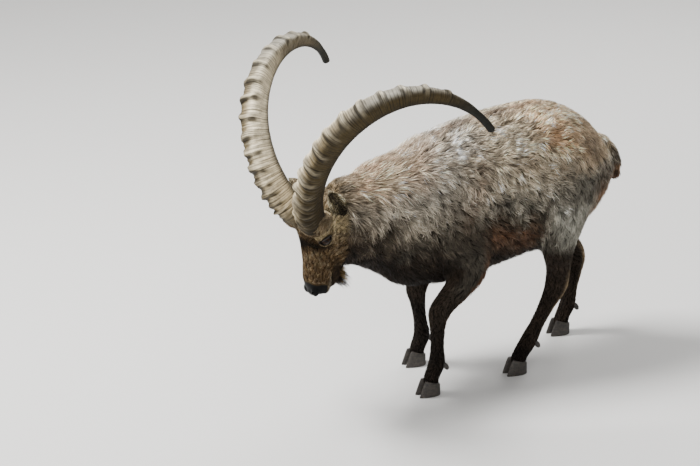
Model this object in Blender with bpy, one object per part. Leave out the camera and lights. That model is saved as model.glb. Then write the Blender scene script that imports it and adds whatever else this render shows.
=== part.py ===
"""Alpine ibex, a grown male that stands with its head bowed and its horns raised.

The animal is in metres, +Z is up, and it faces -X. Its left side is towards -Y.
Every surface is where the tips of the coat reach, and not where the skin is.
"""

import math
import random

import bmesh
import bpy
import numpy as np
from mathutils import Matrix, Vector
from mathutils.bvhtree import BVHTree

# Driving sizes
HORN_LENGTH = 0.93
HORN_HALF_WIDTH = 0.033
HORN_HALF_DEPTH = 0.043
HORN_BASE_OFFSET = 0.043
EYE_RADIUS = 0.0175
EYE_OPEN = (0.0210, 0.0115)
EAR_LENGTH = 0.122
CLAW_HEIGHT = 0.046
CLAW_HALF_WIDTH = 0.0135
CLAW_FRONT = 0.050
CLAW_BACK = 0.026
CLAW_APART = 0.0146
CORONET_SLOPE = 0.28
HORN_SUNK = 0.026
HORN_RISE = math.radians(58)
HORN_CURL = (1.87, 2.40, -1.02)
HORN_SPREAD = (0.49, 0.15, -0.33)
KNOBS = 15
KNOB_START = 0.050
KNOB_END = 0.80
# Above 1, the knobs stand closer together near the head
KNOB_CROWDING = 1.3
KNOB_HEIGHT = 0.0108
# How much of a horn's depth is lost towards its tip, beside the taper of the whole
TIP_FLATTER = 0.22
EAR_HALF_WIDTH = 0.027
EAR_ROOT = (-0.014, -0.097, 0.068)
# The way each ear points, -1 for the left one. The right one is held further forward.
EAR_WAYS = {-1: (-0.76, 0.55, 0.20), 1: (-0.74, 0.74, 0.28)}
EAR_LOOK = (-0.20, 0.50, 0.80)
# Each fringe of locks: a lock's length, width, thickness, how proud its tip stands, how freely it hangs
# away from the body, and the way it lies
LOCKS = {
    "nape": (0.088, 0.044, 0.011, 0.014, 0.15, (0.97, 0.0, 0.00)),
    "neck": (0.092, 0.050, 0.011, 0.007, 0.0, (0.86, 0.0, -0.50)),
    "throat": (0.070, 0.038, 0.011, 0.011, 0.35, (0.84, 0.0, -0.54)),
    "belly": (0.066, 0.042, 0.011, 0.010, 0.35, (0.84, 0.0, -0.54)),
    "breech": (0.066, 0.034, 0.010, 0.008, 0.20, (0.18, 0.0, -0.98)),
    "elbow": (0.056, 0.028, 0.010, 0.008, 0.50, (0.45, 0.0, -0.89)),
    "beard": (0.062, 0.020, 0.009, 0.006, 1.0, (0.66, 0.0, -0.75)),
    "tail": (0.052, 0.022, 0.009, 0.005, 0.80, (0.20, 0.0, -0.98)),
}
# The rings of a lock: how far along, its width, its thickness, and its rise from the surface
LOCK_RINGS = (
    (-0.16, 0.8, 1.0, -0.010),
    (0.2, 1.0, 1.0, -0.001),
    (0.64, 0.74, 0.75, 0.0),
    (1.0, 0.0, 0.0, 0.0),
)
# Rows of locks round the trunk and neck: the fringe, its first and last x, the count along it, and where
# round the body its locks stand, in degrees from straight up
ROWS_OF_LOCKS = (
    ("nape", -0.390, -0.075, 7, (-36, -12, 13, 37)),
    ("neck", -0.325, -0.120, 4, (-100, -70, 70, 100)),
    ("throat", -0.345, -0.090, 5, (142, 166, 190, 214)),
    ("belly", 0.130, 0.330, 4, (154, 178, 202)),
    ("breech", 0.540, 0.600, 2, (-112, -84, 84, 112)),
)
# Locks on the legs: the leg, the fringe, its first and last share of the way down, and the count
LEG_LOCKS = (
    ("front_left", "elbow", 0.25, 0.40, 3),
    ("front_right", "elbow", 0.25, 0.40, 3),
    ("rear_left", "breech", 0.14, 0.26, 2),
    ("rear_right", "breech", 0.14, 0.26, 2),
)
# Roots of the beard's locks: how far down the face and how far to the side
BEARD_ROOTS = (
    (0.222, -0.010),
    (0.222, 0.010),
    (0.208, 0.0),
    (0.197, -0.013),
    (0.197, 0.013),
    (0.183, 0.0),
)
# Behind this x the torso's rows carry the locks, and before it the neck's
NECK_ENDS = -0.09
GAP = 0.0003
BODY_VOXEL = 0.0075
HEAD_VOXEL = 0.0032
BODY_FACES = 2580
HEAD_FACES = 1500

UP = Vector((0, 0, 1))
FORWARD = Vector((-1, 0, 0))

# The bowed head: its yaw to the animal's left, how far the face points down, and its slight roll
HEAD_YAW = math.radians(10.5)
FACE_PITCH = math.radians(92)
HEAD_ROLL = math.radians(-3)
HORN_ROOT = Vector((-0.503, -0.090, 0.670))
# The middle of an eye: how far down the face, towards the forehead and to the side
EYE_PLACE = (0.060, -0.034, 0.056)
# The cut between head and neck, behind the jaw and the poll, and its normal towards the head
HEAD_CUT = Vector((-0.368, -0.074, 0.610))
HEAD_CUT_NORMAL = Vector((-0.955, -0.17, -0.24)).normalized()
# The cut between neck and torso, its normal and the radius of its disc
NECK_CUT = ((-0.150, -0.012, 0.590), (-0.963, -0.05, 0.267), 0.32)
# Radius of the discs at a leg's upper cut, at its lower cut and at its coronet
UPPER_DISC = 0.085
LOWER_DISC = 0.070
CORONET_DISC = 0.060

# Each row is x, y, z of a ring's centre, its half width, and its reach above and below the centre.
TORSO = [
    (-0.175, -0.006, 0.545, 0.090, 0.130, 0.120),
    (-0.120, -0.004, 0.570, 0.135, 0.195, 0.195),
    (-0.050, 0.0, 0.580, 0.158, 0.232, 0.238),
    (0.030, 0.0, 0.590, 0.170, 0.253, 0.248),
    (0.120, 0.0, 0.605, 0.182, 0.258, 0.245),
    (0.220, 0.0, 0.622, 0.196, 0.255, 0.238),
    (0.320, 0.0, 0.634, 0.200, 0.252, 0.236),
    (0.410, 0.0, 0.644, 0.190, 0.241, 0.240),
    (0.490, 0.0, 0.642, 0.172, 0.204, 0.206),
    (0.553, 0.0, 0.636, 0.146, 0.154, 0.148),
    (0.594, 0.0, 0.632, 0.118, 0.112, 0.100),
    (0.622, 0.0, 0.628, 0.080, 0.072, 0.064),
]
NECK = [
    (0.010, 0.0, 0.590, 0.150, 0.215, 0.215),
    (-0.090, -0.006, 0.580, 0.146, 0.220, 0.232),
    (-0.180, -0.022, 0.588, 0.132, 0.206, 0.182),
    (-0.260, -0.044, 0.597, 0.116, 0.190, 0.142),
    (-0.330, -0.064, 0.606, 0.100, 0.163, 0.118),
    (-0.395, -0.080, 0.612, 0.080, 0.170, 0.120),
]
TAIL = [
    (0.600, 0.0, 0.722, 0.026, 0.020, 0.022),
    (0.634, 0.0, 0.704, 0.027, 0.019, 0.022),
    (0.664, 0.0, 0.668, 0.027, 0.018, 0.021),
    (0.680, 0.0, 0.626, 0.025, 0.016, 0.019),
    (0.686, 0.0, 0.586, 0.016, 0.011, 0.013),
]
# Each row of a leg is x, y, z of a ring's centre, its half width, and its reach to the front and to the back.
LEGS = {
    "front_left": [
        (-0.005, -0.085, 0.640, 0.062, 0.110, 0.110),
        (0.010, -0.112, 0.550, 0.066, 0.112, 0.112),
        (0.055, -0.132, 0.470, 0.056, 0.092, 0.080),
        (0.056, -0.134, 0.412, 0.047, 0.060, 0.058),
        (0.012, -0.130, 0.350, 0.040, 0.046, 0.046),
        (-0.028, -0.126, 0.308, 0.036, 0.038, 0.038),
        (-0.046, -0.123, 0.276, 0.035, 0.037, 0.036),
        (-0.049, -0.120, 0.232, 0.027, 0.027, 0.028),
        (-0.049, -0.118, 0.165, 0.023, 0.022, 0.025),
        (-0.050, -0.116, 0.105, 0.027, 0.026, 0.032),
        (-0.064, -0.116, 0.066, 0.026, 0.026, 0.027),
        (-0.068, -0.116, 0.040, 0.027, 0.029, 0.027),
    ],
    "front_right": [
        (0.015, 0.085, 0.640, 0.062, 0.110, 0.110),
        (0.035, 0.112, 0.550, 0.066, 0.112, 0.110),
        (0.085, 0.128, 0.470, 0.056, 0.110, 0.078),
        (0.086, 0.128, 0.412, 0.047, 0.085, 0.056),
        (0.054, 0.122, 0.345, 0.040, 0.062, 0.046),
        (0.020, 0.118, 0.300, 0.036, 0.038, 0.038),
        (0.006, 0.115, 0.266, 0.035, 0.037, 0.036),
        (0.010, 0.113, 0.222, 0.027, 0.027, 0.028),
        (0.018, 0.112, 0.160, 0.023, 0.022, 0.025),
        (0.024, 0.111, 0.102, 0.027, 0.026, 0.032),
        (0.012, 0.111, 0.066, 0.026, 0.026, 0.027),
        (0.008, 0.111, 0.040, 0.027, 0.029, 0.027),
    ],
    "rear_left": [
        (0.480, -0.070, 0.720, 0.085, 0.120, 0.098),
        (0.445, -0.105, 0.620, 0.086, 0.125, 0.092),
        (0.400, -0.132, 0.520, 0.070, 0.096, 0.082),
        (0.385, -0.134, 0.430, 0.052, 0.056, 0.064),
        (0.398, -0.122, 0.352, 0.038, 0.040, 0.046),
        (0.396, -0.114, 0.286, 0.034, 0.038, 0.044),
        (0.372, -0.109, 0.232, 0.028, 0.027, 0.032),
        (0.338, -0.106, 0.168, 0.024, 0.023, 0.026),
        (0.302, -0.104, 0.105, 0.028, 0.026, 0.032),
        (0.276, -0.104, 0.066, 0.026, 0.026, 0.027),
        (0.266, -0.104, 0.040, 0.027, 0.029, 0.027),
    ],
    "rear_right": [
        (0.480, 0.070, 0.720, 0.085, 0.120, 0.096),
        (0.458, 0.105, 0.610, 0.086, 0.125, 0.092),
        (0.464, 0.130, 0.505, 0.070, 0.105, 0.068),
        (0.520, 0.130, 0.415, 0.050, 0.060, 0.052),
        (0.582, 0.122, 0.335, 0.038, 0.040, 0.042),
        (0.617, 0.114, 0.272, 0.034, 0.038, 0.042),
        (0.614, 0.109, 0.222, 0.028, 0.027, 0.031),
        (0.602, 0.108, 0.160, 0.024, 0.023, 0.026),
        (0.590, 0.107, 0.104, 0.028, 0.026, 0.032),
        (0.574, 0.107, 0.066, 0.026, 0.026, 0.027),
        (0.568, 0.107, 0.040, 0.027, 0.029, 0.027),
    ],
}
# Where each leg is parted: the middle of its upper disc and of its lower one
LEG_CUTS = {
    "front_left": ((0.006, -0.129, 0.344), (-0.047, -0.1225, 0.256)),
    "front_right": ((0.036, 0.120, 0.320), (0.007, 0.1145, 0.246)),
    "rear_left": ((0.392, -0.128, 0.392), (0.388, -0.112, 0.262)),
    "rear_right": ((0.552, 0.126, 0.374), (0.616, 0.112, 0.248)),
}

# Each row of the head is how far down the face the ring lies, its middle's reach towards the forehead,
# its half width, and its reach to the forehead and to the jaw from that middle.
SKULL = [
    (-0.060, -0.070, 0.040, 0.030, 0.040),
    (-0.030, -0.066, 0.060, 0.062, 0.068),
    (0.010, -0.066, 0.067, 0.088, 0.084),
    (0.045, -0.067, 0.067, 0.089, 0.086),
    (0.080, -0.064, 0.062, 0.079, 0.082),
    (0.115, -0.058, 0.054, 0.069, 0.070),
    (0.150, -0.051, 0.046, 0.061, 0.067),
    (0.185, -0.046, 0.042, 0.056, 0.060),
    (0.215, -0.043, 0.041, 0.051, 0.050),
    (0.240, -0.042, 0.035, 0.040, 0.037),
]
# Round forms on each side of the head: the place of the middle, and the reach, half width and half depth
HEAD_BALLS = (
    ("cheek", (0.072, -0.096, 0.034), (0.068, 0.027, 0.048)),
    ("brow", (0.032, -0.020, 0.056), (0.034, 0.024, 0.027)),
    ("orbit", EYE_PLACE, (0.025, 0.021, 0.025)),
    ("boss", (0.004, -0.010, 0.044), (0.044, 0.046, 0.054)),
    ("wing", (0.232, -0.020, 0.020), (0.020, 0.016, 0.016)),
    ("upper_lip", (0.216, -0.050, 0.023), (0.036, 0.017, 0.022)),
)
CHIN = ((0.218, -0.084, 0), (0.027, 0.024, 0.020))


def clear_scene():
    for old in list(bpy.data.objects):
        bpy.data.objects.remove(old)


def head_axes():
    """The face's direction down to the nose, the way the forehead looks, and the animal's right."""
    ahead = Vector((-math.cos(HEAD_YAW), -math.sin(HEAD_YAW), 0))
    right = Vector((-math.sin(HEAD_YAW), math.cos(HEAD_YAW), 0))
    down_face = math.cos(FACE_PITCH) * ahead - math.sin(FACE_PITCH) * UP
    brow = math.sin(FACE_PITCH) * ahead + math.cos(FACE_PITCH) * UP
    side = math.cos(HEAD_ROLL) * right + math.sin(HEAD_ROLL) * brow
    brow = math.cos(HEAD_ROLL) * brow - math.sin(HEAD_ROLL) * right
    return down_face, brow, side


FACE, BROW, RIGHT = head_axes()


def on_head(down, brow, side):
    """A point of the head, from how far it lies down the face, towards the forehead and to the right."""
    return HORN_ROOT + down * FACE + brow * BROW + side * RIGHT


def mesh_object(name, points, faces):
    mesh = bpy.data.meshes.new(name)
    mesh.from_pydata([tuple(p) for p in points], [], faces)
    edit = bmesh.new()
    edit.from_mesh(mesh)
    bmesh.ops.recalc_face_normals(edit, faces=edit.faces)
    edit.to_mesh(mesh)
    edit.free()
    made = bpy.data.objects.new(name, mesh)
    bpy.context.scene.collection.objects.link(made)
    return made


def between(rows, share):
    """A row at a share of the way along, on a smooth curve through the rows."""
    rows = np.asarray(rows, float)
    at = min(max(share, 0.0), 1.0) * (len(rows) - 1)
    k = min(int(at), len(rows) - 2)
    t = at - k
    b, c = rows[k], rows[k + 1]
    a = rows[k - 1] if k > 0 else 2 * b - c
    d = rows[k + 2] if k + 2 < len(rows) else 2 * c - b
    square = (2 * a - 5 * b + 4 * c - d) * t**2
    cube = (3 * b - a - 3 * c + d) * t**3
    return (0.5 * (2 * b + (c - a) * t + square + cube)).tolist()


def rings_to_object(name, rings, start=None, end=None):
    """A closed body from rings of equal count, with a point or a flat face at each end."""
    count = len(rings[0])
    points = [p for ring in rings for p in ring]
    faces = []
    for i in range(len(rings) - 1):
        for j in range(count):
            k = (j + 1) % count
            faces.append((i * count + j, i * count + k, (i + 1) * count + k, (i + 1) * count + j))
    last = (len(rings) - 1) * count
    if start is None:
        faces.append(tuple(range(count)))
    else:
        points.append(start)
        faces += [(len(points) - 1, j, (j + 1) % count) for j in range(count)]
    if end is None:
        faces.append(tuple(range(last, last + count)))
    else:
        points.append(end)
        faces += [(len(points) - 1, last + j, last + (j + 1) % count) for j in range(count)]
    return mesh_object(name, points, faces)


def ring_at(centre, along, ahead, half_width, front, back, sides, square=2.0):
    """Points of one ring. Its front and back reaches lie along the part of ahead that is square to along."""
    along = along.normalized()
    ahead = (ahead - ahead.dot(along) * along).normalized()
    across = along.cross(ahead)
    ring = []
    for j in range(sides):
        turn = 2 * math.pi * j / sides
        c, s = math.cos(turn), math.sin(turn)
        wide = math.copysign(abs(c) ** (2 / square), c) * half_width
        deep = math.copysign(abs(s) ** (2 / square), s) * (front if s > 0 else back)
        ring.append(centre + wide * across + deep * ahead)
    return ring


def loft(name, rows, ahead, steps=4, sides=20, square=2.0, cap=0.6):
    """A closed body along rows of x, y, z, half width, front reach and back reach, with rounded ends."""
    count = (len(rows) - 1) * steps + 1
    dense = [between(rows, i / (count - 1)) for i in range(count)]
    places = [Vector(row[:3]) for row in dense]
    rings = []
    for i, row in enumerate(dense):
        along = places[min(i + 1, count - 1)] - places[max(i - 1, 0)]
        rings.append(ring_at(places[i], along, ahead, row[3], row[4], row[5], sides, square))
    ends = []
    for i, step in ((0, -1), (count - 1, 1)):
        along = (places[min(i + 1, count - 1)] - places[max(i - 1, 0)]).normalized() * step
        reach = cap * min(dense[i][3:6])
        for turn in (0.5, 1.0):
            centre = places[i] + along * reach * math.sin(turn)
            sizes = [size * math.cos(turn) for size in dense[i][3:6]]
            ring = ring_at(centre, along * step, ahead, *sizes, sides, square)
            if step < 0:
                rings.insert(0, ring)
            else:
                rings.append(ring)
        ends.append(places[i] + along * reach)
    return rings_to_object(name, rings, ends[0], ends[1])


def ball(name, centre, along, ahead, reach, across, depth, sides=16):
    """An egg-shaped body: its reach along, its half width across and its half depth ahead."""
    along = along.normalized()
    rings = []
    count = 7
    for i in range(1, count):
        turn = math.pi * i / count
        grow = math.sin(turn)
        middle = centre - along * reach * math.cos(turn)
        rings.append(ring_at(middle, along, ahead, across * grow, depth * grow, depth * grow, sides))
    return rings_to_object(name, rings, centre - along * reach, centre + along * reach)


def apply_modifiers(thing):
    graph = bpy.context.evaluated_depsgraph_get()
    mesh = bpy.data.meshes.new_from_object(thing.evaluated_get(graph))
    thing.modifiers.clear()
    thing.data = mesh
    return thing


def joined(name, things):
    """One object that holds copies of several, which are then removed."""
    edit = bmesh.new()
    for thing in things:
        edit.from_mesh(thing.data)
        bpy.data.objects.remove(thing)
    mesh = bpy.data.meshes.new(name)
    edit.to_mesh(mesh)
    edit.free()
    made = bpy.data.objects.new(name, mesh)
    bpy.context.scene.collection.objects.link(made)
    return made


def fused_smooth(name, things, voxel, rounds, faces):
    """Overlapping bodies fused to one even skin, smoothed where they meet and then thinned out."""
    made = joined(name, things)
    remesh = made.modifiers.new("even", "REMESH")
    remesh.mode = "VOXEL"
    remesh.voxel_size = voxel
    smooth = made.modifiers.new("smooth", "SMOOTH")
    smooth.factor = 0.5
    smooth.iterations = rounds
    apply_modifiers(made)
    thin = made.modifiers.new("thin", "DECIMATE")
    thin.ratio = faces / max(1, sum(len(p.vertices) - 2 for p in made.data.polygons))
    thin.use_collapse_triangulate = True
    return apply_modifiers(made)


def boolean(thing, others, operation, solver="EXACT"):
    """Cuts the others from a thing, or joins them to it, by one Boolean on a collection."""
    group = bpy.data.collections.new("tools")
    bpy.context.scene.collection.children.link(group)
    for other in others:
        bpy.context.scene.collection.objects.unlink(other)
        group.objects.link(other)
    modifier = thing.modifiers.new("tools", "BOOLEAN")
    modifier.operation = operation
    modifier.operand_type = "COLLECTION"
    modifier.collection = group
    modifier.solver = solver
    apply_modifiers(thing)
    for other in others:
        bpy.data.objects.remove(other)
    bpy.data.collections.remove(group)
    return thing


def disc(name, centre, normal, radius, thick=GAP, sides=40):
    """A thin round cutter."""
    normal = Vector(normal).normalized()
    ahead = normal.orthogonal()
    centre = Vector(centre)
    rings = [
        ring_at(centre + normal * thick * share, normal, ahead, radius, radius, radius, sides)
        for share in (-0.5, 0.5)
    ]
    return rings_to_object(name, rings)


def shells_of(thing):
    """The separate closed surfaces of an object, each as its own object, largest first."""
    edit = bmesh.new()
    edit.from_mesh(thing.data)
    bmesh.ops.remove_doubles(edit, verts=edit.verts, dist=1e-7)
    seen = set()
    groups = []
    for face in edit.faces:
        if face.index in seen:
            continue
        stack, group = [face], []
        seen.add(face.index)
        while stack:
            here = stack.pop()
            group.append(here)
            for edge in here.edges:
                for other in edge.link_faces:
                    if other.index not in seen:
                        seen.add(other.index)
                        stack.append(other)
        groups.append(group)
    found = []
    for group in sorted(groups, key=len, reverse=True):
        index = {}
        faces = []
        for face in group:
            faces.append([index.setdefault(v.index, len(index)) for v in face.verts])
        points = [None] * len(index)
        for face in group:
            for v in face.verts:
                points[index[v.index]] = v.co.copy()
        found.append((points, faces))
    edit.free()
    bpy.data.objects.remove(thing)
    return found


def copied(thing):
    made = bpy.data.objects.new(thing.name, thing.data.copy())
    bpy.context.scene.collection.objects.link(made)
    return made


def largest_shell(thing):
    name = thing.name
    points, faces = shells_of(thing)[0]
    made = mesh_object(name + "_kept", points, faces)
    made.name = name
    return made


def leg_tangent(rows, place):
    """The way a leg runs at a place near it."""
    spots = [Vector(between(rows, i / 60)[:3]) for i in range(61)]
    i = min(range(1, 60), key=lambda k: (spots[k] - Vector(place)).length)
    return (spots[i + 1] - spots[i - 1]).normalized()


def eye_centre(sign):
    return on_head(EYE_PLACE[0], EYE_PLACE[1], sign * EYE_PLACE[2])


def head_forms():
    """The overlapping bodies that make the head."""
    rows = []
    for down, middle, half_width, front, back in SKULL:
        rows.append((*on_head(down, middle, 0), half_width, front, back))
    forms = [loft("skull", rows, BROW, steps=3, sides=20, square=2.15)]
    for name, (down, brow, aside), sizes in HEAD_BALLS:
        for sign in (-1, 1):
            forms.append(ball(name, on_head(down, brow, sign * aside), FACE, BROW, *sizes))
    forms.append(ball("chin", on_head(*CHIN[0]), FACE, BROW, *CHIN[1]))
    return forms


def lock(tree, root, out, fringe, rng):
    """One lock: flat, tapered and bent, sunk at its root, laid along the surface or hung free of it."""
    length, width, thick, lift, free, lie = LOCKS[fringe]
    size = rng.uniform(0.82, 1.15)
    lie = Vector(lie) + Vector([rng.uniform(-0.16, 0.16) for _ in range(3)])
    along = (lie - lie.dot(out) * out).normalized()
    side = along.cross(out)
    bend = rng.uniform(-0.22, 0.22)
    rings = []
    for t, wide, deep, rise in LOCK_RINGS:
        flight = root + along * length * size * t + side * bend * length * t * abs(t)
        near, normal, _, _ = tree.find_nearest(flight)
        centre = near.lerp(flight, free)
        normal = normal.lerp(out, free).normalized()
        centre += normal * (rise + lift * max(t, 0) ** 2)
        across = along.cross(normal).normalized() * width * size * wide / 2
        high = normal * thick * deep / 2
        rings.append([centre - across, centre - high, centre + across, centre + high])
        tip = centre
    return rings_to_object("lock", rings[:-1], None, tip)


def spot_on(tree, centre, way, reach=0.6):
    """Where a line from outside towards a centre first meets the surface, and the way out of it there."""
    way = way.normalized()
    place, out, _, _ = tree.ray_cast(centre + way * reach, -way)
    return place, out


def tree_of(thing):
    points = [v.co.copy() for v in thing.data.vertices]
    return BVHTree.FromPolygons(points, [list(p.vertices) for p in thing.data.polygons])


def row_at(rows, x):
    """The row of a loft that runs along X, at a place along it."""
    shares = [i / 80 for i in range(81)]
    return between(rows, min(shares, key=lambda share: abs(between(rows, share)[0] - x)))


def body_locks(tree):
    """The long coat of the nape, neck, throat, belly, breeches and forelegs, each lock with its root."""
    rng = random.Random(7)
    made = []
    for fringe, first, last, count, turns in ROWS_OF_LOCKS:
        for i in range(count):
            for k, turn in enumerate(turns):
                share = (i + 0.5 * (k % 2)) / (count - 0.5)
                x = first + (last - first) * share + rng.uniform(-0.008, 0.008)
                row = row_at(NECK if x < NECK_ENDS else TORSO, x)
                turn = math.radians(turn + rng.uniform(-6, 6))
                place, out = spot_on(tree, Vector(row[:3]), Vector((0, math.sin(turn), math.cos(turn))))
                if place is not None:
                    made.append((lock(tree, place, out, fringe, rng), place))
    for leg, fringe, first, last, count in LEG_LOCKS:
        for i in range(count):
            row = between(LEGS[leg], first + (last - first) * i / (count - 1))
            for turn in (-0.5, 0.5):
                way = Vector((1, turn + rng.uniform(-0.2, 0.2), 0)).normalized()
                place, out = spot_on(tree, Vector(row[:3]), way, 0.12)
                if place is not None and out.dot(way) > 0.35:
                    made.append((lock(tree, place, out, fringe, rng), place))
    return made


def beard_locks(tree):
    """The short beard, which grows from the chin and hangs away from the jaw."""
    rng = random.Random(3)
    made = []
    for down, side in BEARD_ROOTS:
        out = (FACE * 0.75 - BROW * 0.45 + RIGHT * side * 20).normalized()
        made.append(lock(tree, on_head(down, -0.092, side), out, "beard", rng))
    return made


def body_forms():
    forms = [
        loft("trunk", TORSO, UP, steps=4, sides=28, square=2.15),
        loft("neck_form", NECK, UP, steps=4, sides=24),
    ]
    for name, rows in LEGS.items():
        forms.append(loft(name, rows, FORWARD, steps=4, sides=18))
    return forms


def coronet_plane(leg):
    """A point and the normal of the sloped cut between a leg and its claws."""
    x, y = LEGS[leg][-1][:2]
    return Vector((x, y, CLAW_HEIGHT)), Vector((CORONET_SLOPE, 0, 1)).normalized()


def bare_tail():
    """The tail without its tuft. A grown copy cuts its bed from the rump."""
    return loft("tail", TAIL, UP, steps=2, sides=10)


def make_tail():
    """The tail with the tuft of locks that hangs from its end."""
    tail = bare_tail()
    tree = tree_of(tail)
    rng = random.Random(5)
    locks = []
    for share in (0.55, 0.72, 0.88):
        row = between(TAIL, share)
        for turn in (-0.9, 0.0, 0.9):
            place, out = spot_on(tree, Vector(row[:3]), Vector((math.cos(turn), math.sin(turn), 0.05)))
            locks.append(lock(tree, place, out, "tail", rng))
    return largest_shell(boolean(tail, locks, "UNION"))


def grown(thing, by=GAP):
    """The same body with every face moved outward, to cut the place where it sits."""
    edit = bmesh.new()
    edit.from_mesh(thing.data)
    edit.normal_update()
    moves = []
    for v in edit.verts:
        lean = min(face.normal.dot(v.normal) for face in v.link_faces)
        moves.append(v.normal * (by / max(lean, 0.3)))
    for v, move in zip(edit.verts, moves):
        v.co += move
    edit.to_mesh(thing.data)
    edit.free()
    return thing


def part_body():
    """The body modelled whole and parted by thin discs: torso, neck, tail and two lengths of each leg."""
    body = fused_smooth("body", body_forms(), BODY_VOXEL, 6, BODY_FACES)
    locks = body_locks(tree_of(body))
    place, normal = HEAD_CUT, HEAD_CUT_NORMAL
    shared = [copied(made) for made, root in locks if (root - place).dot(normal) > -0.10]
    boolean(body, [made for made, root in locks], "UNION")
    cutters = [
        disc("cut", place + normal * (0.25 - GAP / 2), normal, 0.26, 0.5),
        disc("cut", *NECK_CUT),
        grown(bare_tail()),
    ]
    wanted = {
        "neck": Vector((-0.26, -0.04, 0.74)),
        "torso": Vector((0.25, 0, 0.88)),
    }
    for leg, rows in LEGS.items():
        upper, lower = LEG_CUTS[leg]
        cutters.append(disc("cut", upper, leg_tangent(rows, upper), UPPER_DISC))
        cutters.append(disc("cut", lower, leg_tangent(rows, lower), LOWER_DISC))
        coronet, slope = coronet_plane(leg)
        cutters.append(disc("cut", coronet + slope * (GAP - 0.05), slope, CORONET_DISC, 0.1))
        wanted[f"leg_{leg}_upper"] = (Vector(upper) + Vector(lower)) / 2
        wanted[f"leg_{leg}_lower"] = Vector(rows[-1][:3])
    boolean(body, cutters, "DIFFERENCE")
    shells = shells_of(body)
    nodes = {}
    for name, spot in wanted.items():
        points, faces = min(shells, key=lambda shell: min((p - spot).length for p in shell[0]))
        nodes[name] = mesh_object(name, points, faces)
    return nodes, shared


def sphere(name, centre, radius):
    """A round ball whose poles look out of the head, as the eye's front does."""
    rings = []
    rows = 10
    for i in range(1, rows):
        turn = math.pi * i / rows
        reach = radius * math.sin(turn)
        rings.append(ring_at(centre - RIGHT * radius * math.cos(turn), RIGHT, BROW, reach, reach, reach, 14))
    return rings_to_object(name, rings, centre - RIGHT * radius, centre + RIGHT * radius)


def eye_opening(sign):
    """An almond-shaped cutter that opens the lids outward from the eye's middle."""
    centre = eye_centre(sign)
    look = (sign * RIGHT * 0.90 + BROW * 0.42).normalized()
    long_way = FACE * 0.42 + BROW * 0.90
    long_way = (long_way - long_way.dot(look) * look).normalized()
    short_way = look.cross(long_way)
    rings = []
    for out, grow in ((0.003, 0.30), (EYE_RADIUS, 1.0), (0.030, 1.7)):
        ring = []
        for j in range(16):
            turn = 2 * math.pi * j / 16
            wide = math.cos(turn) * EYE_OPEN[0] * grow
            high = math.sin(turn) * EYE_OPEN[1] * grow
            ring.append(centre + look * out + long_way * wide + short_way * high)
        rings.append(ring)
    return rings_to_object("opening", rings)


def make_ear(name, sign):
    """One ear: a leaf with a cupped front, thick at the root, thin at the rim, and sunk in the head."""
    root = on_head(EAR_ROOT[0], EAR_ROOT[1], sign * EAR_ROOT[2])
    down, ahead, aside = EAR_WAYS[sign]
    along = (FACE * down + BROW * ahead + sign * RIGHT * aside).normalized()
    look = FACE * EAR_LOOK[0] + BROW * EAR_LOOK[1] + sign * RIGHT * EAR_LOOK[2]
    look = (look - look.dot(along) * along).normalized()
    across = along.cross(look)
    rings = []
    count = 10
    for i in range(count + 1):
        t = i / count
        rising = 0.50 + 0.50 * math.sin(math.pi / 2 * min(t / 0.45, 1))
        falling = 1 - max(0, (t - 0.45) / 0.57) ** 2.0
        half = EAR_HALF_WIDTH * rising * falling
        cup = 0.70 * half * min(1.0, t / 0.25)
        wall = 0.0052 * (1 - 0.5 * t) + 0.014 * (1 - t) ** 5
        spine = root + along * EAR_LENGTH * t - look * 0.012 * math.sin(math.pi * t)
        ring = []
        arc = [-1 + 2 * k / 6 for k in range(7)]
        for a in arc:
            rise = cup * a * a - wall / 2 * (1.15 - a * a)
            ring.append(spine + across * half * a + look * rise)
        for a in reversed(arc[1:-1]):
            rise = cup * a * a + wall / 2 * (1.15 - a * a)
            ring.append(spine + across * half * a * 0.93 + look * rise)
        rings.append(ring)
    tip = root + along * EAR_LENGTH * 1.02 - look * 0.002
    return rings_to_object(name, rings, None, tip)


def mouth_line():
    """A thin wedge along the parting of the lips, from one corner of the mouth round to the other."""
    half = [
        (0.249, -0.062, 0.024),
        (0.222, -0.069, 0.039),
        (0.190, -0.075, 0.045),
        (0.166, -0.078, 0.047),
    ]
    path = [(down, brow, -side) for down, brow, side in reversed(half)]
    path += [(0.258, -0.057, -0.010), (0.258, -0.057, 0.010)] + half
    spots = [on_head(*row) for row in path]
    rings = []
    for i, spot in enumerate(spots):
        along = spots[min(i + 1, len(spots) - 1)] - spots[max(i - 1, 0)]
        inward = on_head(0.190, -0.070, 0) - spot
        rings.append(ring_at(spot, along, inward, 0.0012, 0.008, 0.012, 8))
    return rings_to_object("mouth", rings)


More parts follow.
